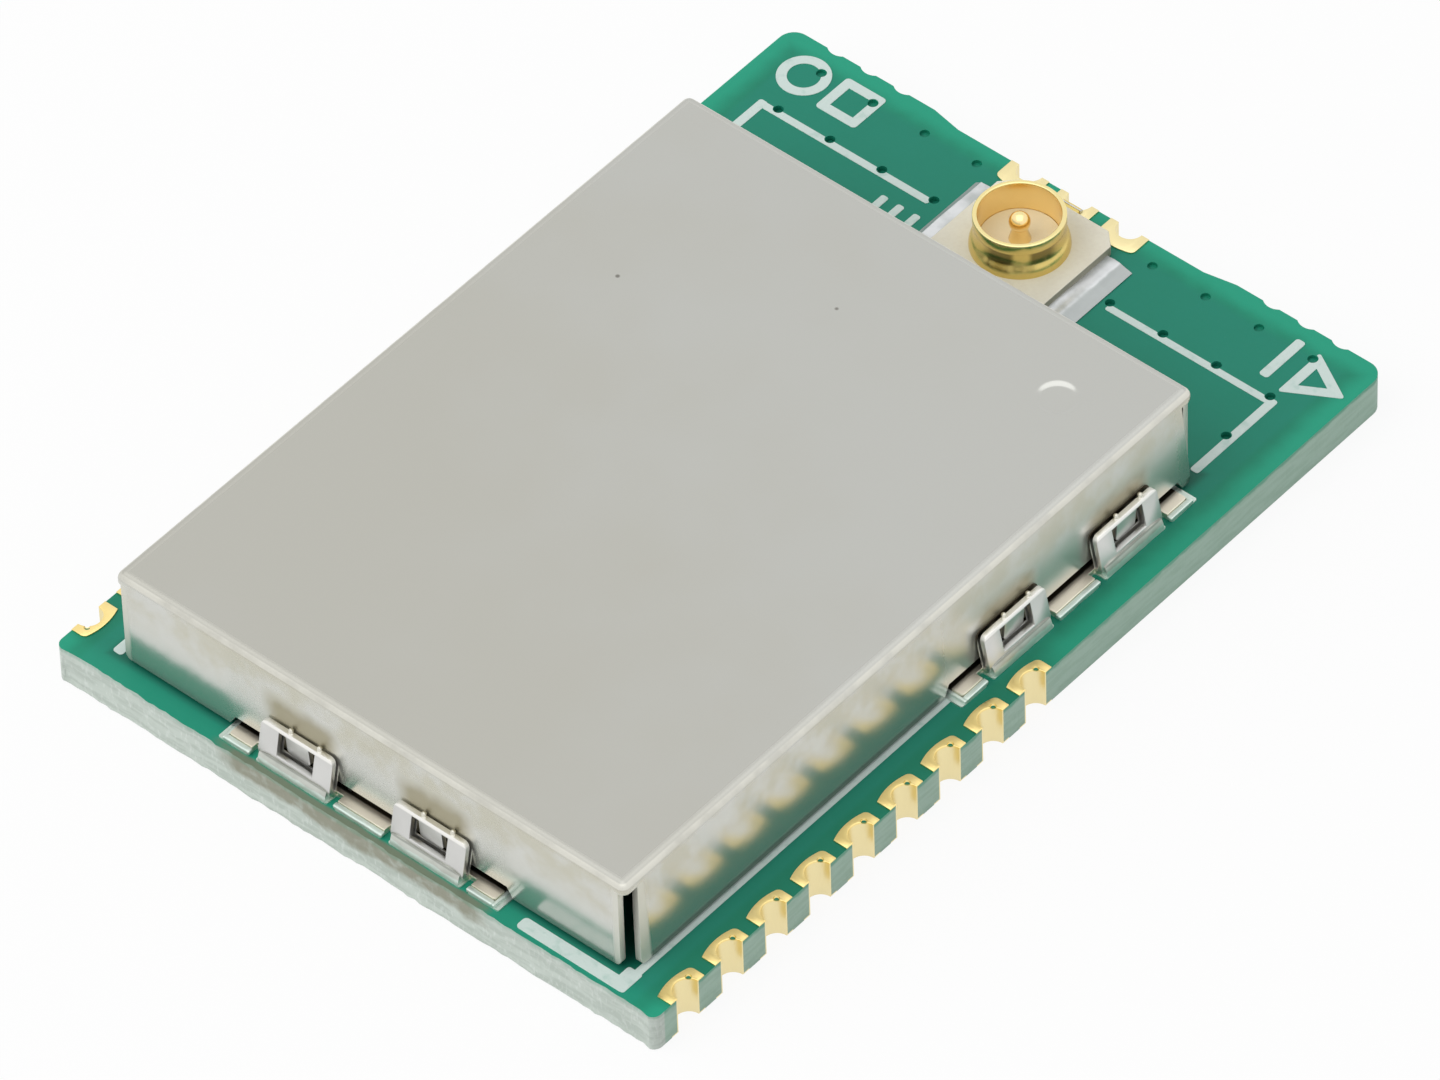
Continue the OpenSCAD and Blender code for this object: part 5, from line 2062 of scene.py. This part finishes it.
    def _heap(self, seed: float, spread: float) -> Piece:
        """Models the solder over one tab: flat over the tab, then a crease and a slope to the board.

        Args:
            seed: Start of its unevenness.
            spread: Its reach beyond the tab's end.

        Returns:
            The solder, on the right of the axis.
        """
        half, top, side = self.base[0] / 2, self.tab + self.skin, self.tab_length / 2
        edge, (across, back) = half + self.tab_out, self.heap_waves
        heap = Piece.block("heap", (half - self.heap_lap, -side - self.heap_side, -SOLDER_BED),
                           (edge + spread, side + self.heap_side, top))
        heap.slice(Axis.X, [*marks(half, edge, 5), edge, *(edge + spread * share for share in self.heap_steps)])
        heap.slice(Axis.Y, marks(-side, side, self.heap_rows))

        def slope(spot: Vector) -> Vector:
            """Lets the solder's face fall away beyond the tab's edge, and lie a little uneven.

            Args:
                spot: A point.

            Returns:
                Its new place.
            """
            if spot.z > 0:
                run = max(0.0, (spot.x - edge) / spread)
                sway = self.heap_sway * waver(spot.x * across, spot.y * back + seed, 0.3)
                spot.z = top - (top + self.heap_sunk) * run ** self.heap_curve + sway * (1.0 - run)
            elif spot.x > edge + self.toe:
                spot.x -= self.toe_sway * abs(waver(0.0, spot.y * self.toe_waves + seed, 2.3))
            return spot

        heap.shift_points(slope)
        return heap

    def _solder(self) -> Piece:
        """Models the solder that runs over the tabs and the tail's end.

        Returns:
            The solder, in its place.
        """
        heaps = []
        for side, spread in zip(SIDES, self.spread):
            heap = self._heap(side * self.heap_seed, spread)
            heaps.append(heap.copy("coax_solder", 0.0 if side > 0 else math.pi, ORIGIN))
            heap.discard()
        start = self.base[1] / 2 + self.tail_out - self.bead_back
        half = self.tail_width / 2 + self.bead_lap
        bead = Piece.block("bead", (-half, start, 0.0), (half, start + self.bead_run, self.tail + self.bead_lap))
        bead.grow(lambda spot, way: spot.z > self.tail / 2 and spot.y > start + self.bead_run / 2,
                  (1.0, 1.0, self.bead_end))
        bead.soften(self.metal_soft, 3, 30.0)
        return self._place(Piece.join(*heaps, bead))

    def build(self, finishes: Finishes) -> None:
        """Models and dresses the connector.

        Args:
            finishes: The module's materials.
        """
        self._shell().finish("connector_gold", (finishes.coax,), ("connector_shell",), 40.0)
        self._contact().finish("connector_gold", (finishes.coax,), ("connector_pin",), 40.0)
        self._moulding().finish("connector_plastic", (finishes.plastic,), ("connector_base",))
        self._solder().finish("solder", (finishes.tab_solder,), ("connector_solder",), 40.0)


@dataclass(frozen=True)
class Line:
    """Straight strokes of print that meet at right angles."""

    points: tuple[Pair, ...]
    widths: tuple[float, ...]


@dataclass(frozen=True)
class Sign:
    """An open ring, or an open figure with a few sides."""

    sides: int
    radius: float
    middle: Pair
    turn: float = 0.0


@dataclass
class BoardPrint:
    """White print on the board: the lines round the can, and plain corner signs."""

    board: Board
    ink: float = 0.012
    via_clear: float = 0.13
    stroke_round: float = 0.3
    left: Line = Line(((-2.61, 9.75), (-7.31, 9.75), (-7.31, 7.2)), (0.19, 0.22))
    right: Line = Line(((2.59, 9.72), (7.05, 9.72), (7.05, 7.2)), (0.18, 0.22))
    front: Line = Line(((4.6, -11.68), (7.2, -11.68)), (0.34,))
    patch: tuple[Pair, Pair] = ((6.98, -11.84), (7.37, -11.2))
    patch_corner: float = 0.06
    right_side: Line = Line(((7.24, -11.65), (7.24, -1.3)), (0.19,))
    left_side: Line = Line(((-7.17, -11.22), (-7.17, -2.5)), (0.26,))
    tick: float = 0.19
    tick_run: Pair = (8.98, 9.18)
    ticks: Triple = (-3.35, -2.9, -2.44)
    sign_stroke: float = 0.24
    sign_round: float = 0.4
    signs: tuple[Sign, ...] = (Sign(40, 0.62, (-7.15, 11.0)), Sign(4, 0.8, (-5.8, 11.0), math.pi / 4),
                               Sign(3, 0.85, (7.35, 10.8), math.pi / 6))
    bar: Line = Line(((6.4, 10.35), (6.4, 11.45)), (0.24,))
    few_sides: int = 8

    def _patch(self, low: Pair, high: Pair, corner: float) -> Piece:
        """Models a patch of ink with round corners.

        Args:
            low: Its lowest corner along X and Y.
            high: Its highest corner.
            corner: Radius of its corners.

        Returns:
            The patch.
        """
        top = self.board.thickness
        patch = Piece.block("stroke", (*low, top), (*high, top + self.ink))
        patch.bevel(along(Axis.Z), corner, 4)
        return patch

    def _line(self, line: Line) -> Piece:
        """Models strokes with soft ends, as one outline.

        Args:
            line: Their ends and widths.

        Returns:
            The outline.
        """
        strokes = []
        for start, end, width in zip(line.points, line.points[1:], line.widths):
            low = tuple(min(pair) - width / 2 for pair in zip(start, end))
            high = tuple(max(pair) + width / 2 for pair in zip(start, end))
            strokes.append(self._patch(low, high, width * self.stroke_round))
        strokes[0].fuse(*strokes[1:])
        return strokes[0]

    def _sign(self, sign: Sign) -> Piece:
        """Models an open sign, with round corners where it has few sides.

        Args:
            sign: Its form and place.

        Returns:
            The sign.
        """
        corner, middle = self.sign_stroke * self.sign_round, Vector(sign.middle)
        foot = (*sign.middle, self.board.thickness)
        figure = Piece.rod("sign", foot, sign.radius, self.ink, sign.sides, (0.0, 0.0, sign.turn))
        figure.inset(lambda spot, way: abs(way.z) > FACING, self.sign_stroke)
        figure.bridge(lambda spot, way: abs(way.z) > FACING and near((spot.to_2d() - middle).length, 0.0, corner))
        if sign.sides < self.few_sides:
            figure.bevel(lambda spot, way: along(Axis.Z)(spot, way)
                         and near((spot.to_2d() - middle).length, sign.radius, LOOSE), corner, 4)
        figure.clean()
        return figure

    def build(self, finishes: Finishes) -> None:
        """Models and dresses the print.

        Args:
            finishes: The module's materials.
        """
        front = self._line(self.front)
        front.fuse(self._patch(*self.patch, self.patch_corner), self._line(self.right_side))
        ticks = [Line(tuple((x, y) for y in self.tick_run), (self.tick,)) for x in self.ticks]
        sheet = self._line(self.left)
        sheet.join(self._line(self.right), front, *[self._line(line) for line in (self.left_side, *ticks)],
                   *[self._sign(sign) for sign in self.signs], self._line(self.bar))
        sheet.rename("board_print")
        sheet.cut(*self.board.via_tools(self.via_clear))
        sheet.finish("laminate", (finishes.ink,))


@dataclass
class Module:
    """The whole module, put together from its sub-assemblies."""

    finishes: Finishes
    end_finger: float = 0.08
    side_finger: float = 0.141

    def clips(self, can: ShieldCan, seat: float) -> None:
        """Models the clips and their solder on the can's four walls.

        Args:
            can: The can that they hold.
            seat: Height of the clips' feet.
        """
        masters = {root: SpringClip(root).build("clip") for root in (self.end_finger, self.side_finger)}
        solder = ClipSolder(SpringClip(self.end_finger)).build("solder")
        heaps = []
        for wall, (turn, spot) in can.walls().items():
            root = self.end_finger if wall in ("front", "rear") else self.side_finger
            clip = masters[root].copy(f"{wall}_spring_clip", turn, (*spot, seat))
            clip.finish("clip_sheet", (self.finishes.clip,), (f"clip_{wall}",))
            heaps.append(solder.copy("clip_solder_fillets", turn, (*spot, seat)))
        solder.discard(*masters.values())
        Piece.join(*heaps).finish("solder", (self.finishes.solder,), ("clip_solder",), 50.0)

    def circuit(self) -> None:
        """Dresses the circuit under the can, whose solids are shown as they are."""
        finishes = self.finishes
        coats = {"transceiver_body": finishes.compound, "amplifier_body": finishes.compound,
                 "crystal_base": finishes.crystal_base, "crystal_lid": finishes.crystal_lid,
                 "filter_body": finishes.pale_ceramic, "inductor_bodies": finishes.pale_ceramic,
                 "capacitor_bodies": finishes.tan_ceramic, "resistor_bodies": finishes.glaze}
        for node in ("transceiver_leads", "amplifier_leads", "filter_ends", "capacitor_ends", "inductor_ends",
                     "resistor_ends"):
            coats[node] = finishes.leads
        for node, coat in coats.items():
            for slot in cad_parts[node].material_slots:
                slot.material = coat
            LOG.info("%s dressed", node)

    def build(self) -> None:
        """Builds every sub-assembly in order."""
        board, pads = Board(), EdgePads()
        can = ShieldCan(*(Vector(corner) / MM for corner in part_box("shield_can")))
        seat = board.thickness + SOLDER_BED
        board.build(self.finishes, pads)
        pads.build(self.finishes, board)
        can.build(self.finishes)
        self.clips(can, seat)
        CoaxConnector(seat).build(self.finishes)
        BoardPrint(board).build(self.finishes)
        self.circuit()


@dataclass(frozen=True)
class Lamp:
    """A square soft lamp that looks at the module, its place and side in metres and its power in watts.

    A mirrored lamp lights glossy surfaces only, and another doesn't show in them.
    """

    name: str
    spot: Triple
    size: float
    power: float
    mirrored: bool

    def hang(self) -> None:
        """Adds the lamp to the scene."""
        data = bpy.data.lights.new(self.name, "AREA")
        data.size = self.size
        data.energy = self.power
        lamp = bpy.data.objects.new(self.name, data)
        lamp.location = self.spot
        lamp.rotation_euler = Vector(self.spot).to_track_quat("Z", "Y").to_euler()
        lamp.visible_glossy = self.mirrored
        lamp.visible_diffuse = not self.mirrored
        bpy.context.collection.objects.link(lamp)


@dataclass
class Studio:
    """The floor, the white surroundings, the soft lamps and the camera."""

    azimuth: float = math.radians(42.092)
    elevation: float = math.radians(46.460)
    roll: float = math.radians(-2.064)
    aim: Triple = (0.05, 0.05, 0.0)
    shift: Pair = (-0.206, -0.022)
    distance: float = 293.343
    focal: float = 13767.36
    picture_width: float = 1440.0
    sensor: float = 36.0
    clip_start: float = 0.01
    floor_size: float = 3.0
    floor_drop: float = 0.00002
    floor_glow: float = 0.9
    paper: tuple[float, float, float, float] = (0.95, 0.95, 0.95, 1.0)
    fill: float = 0.64
    lamps: tuple[Lamp, ...] = (Lamp("key", (-0.16, -0.25, 0.27), 0.45, 0.9, False),
                               Lamp("glint", (0.03, -0.035, 0.6), 0.75, 1.15, True))

    def camera(self) -> None:
        """Sets the camera where the photograph was taken from."""
        back = Vector((math.sin(self.azimuth) * math.cos(self.elevation),
                       -math.cos(self.azimuth) * math.cos(self.elevation), math.sin(self.elevation)))
        right = Vector((math.cos(self.azimuth), math.sin(self.azimuth), 0.0))
        up = back.cross(right)
        right, up = (right * math.cos(self.roll) + up * math.sin(self.roll),
                     up * math.cos(self.roll) - right * math.sin(self.roll))
        eye = (Vector(self.aim) + right * self.shift[0] + up * self.shift[1] + back * self.distance) * MM
        data = bpy.data.cameras.new("camera")
        data.sensor_fit = "HORIZONTAL"
        data.sensor_width = self.sensor
        data.lens = self.sensor * self.focal / self.picture_width
        data.clip_start = self.clip_start
        camera = bpy.data.objects.new("camera", data)
        turn = Matrix((right, up, back)).transposed().to_4x4()
        camera.matrix_world = Matrix.Translation(eye) @ turn
        bpy.context.collection.objects.link(camera)
        bpy.context.scene.camera = camera

    @staticmethod
    def _show(graph: Graph, shed: bpy.types.Node, shown: bpy.types.Node, share: float) -> None:
        """Ends a graph with one shader for the light that is shed and another for what is seen.

        Args:
            graph: The graph.
            shed: Shader for diffuse rays.
            shown: Shader for rays from the camera, and for mirrored and passed rays.
            share: How much of the second those rays see.
        """
        path = graph.node("ShaderNodeLightPath")
        camera, glossy, passed = (Value(graph, path.outputs[f"Is {kind} Ray"])
                                  for kind in ("Camera", "Glossy", "Transmission"))
        seen = camera.most(glossy).most(passed) * share
        mixed = graph.node("ShaderNodeMixShader", {}, {0: seen, 1: shed.outputs[0], 2: shown.outputs[0]})
        graph.show(mixed.outputs[0])

    def floor(self) -> None:
        """Lays a white floor that keeps a faint shadow."""
        bpy.ops.object.select_all(action="DESELECT")
        bpy.ops.mesh.primitive_plane_add(size=self.floor_size, location=(0.0, 0.0, -self.floor_drop))
        floor = bpy.context.active_object
        floor.name = "floor"
        graph = Graph(bpy.data.materials.new("white_floor"))
        paper = graph.node("ShaderNodeBsdfDiffuse", {}, {"Color": self.paper})
        glow = graph.node("ShaderNodeEmission", {}, {"Color": WHITE, "Strength": 1.0})
        self._show(graph, paper, glow, self.floor_glow)
        floor.data.materials.append(graph.owner)

    def world(self) -> None:
        """Surrounds the module with white, dimmer for the light that it sheds."""
        graph = Graph(bpy.data.worlds.new("white_room"))
        bpy.context.scene.world = graph.owner
        shed, shown = (graph.node("ShaderNodeBackground", {}, {"Color": WHITE, "Strength": strength})
                       for strength in (self.fill, 1.0))
        self._show(graph, shed, shown, 1.0)

    def build(self) -> None:
        """Sets up the whole studio."""
        bpy.context.scene.view_settings.view_transform = "Standard"
        self.camera()
        self.floor()
        self.world()
        for lamp in self.lamps:
            lamp.hang()


def main() -> None:
    """Builds the studio and the module."""
    logging.basicConfig(level=logging.INFO, format="%(name)s: %(message)s")
    Studio().build()
    Module(Finishes()).build()


if __name__ == "__main__":
    main()
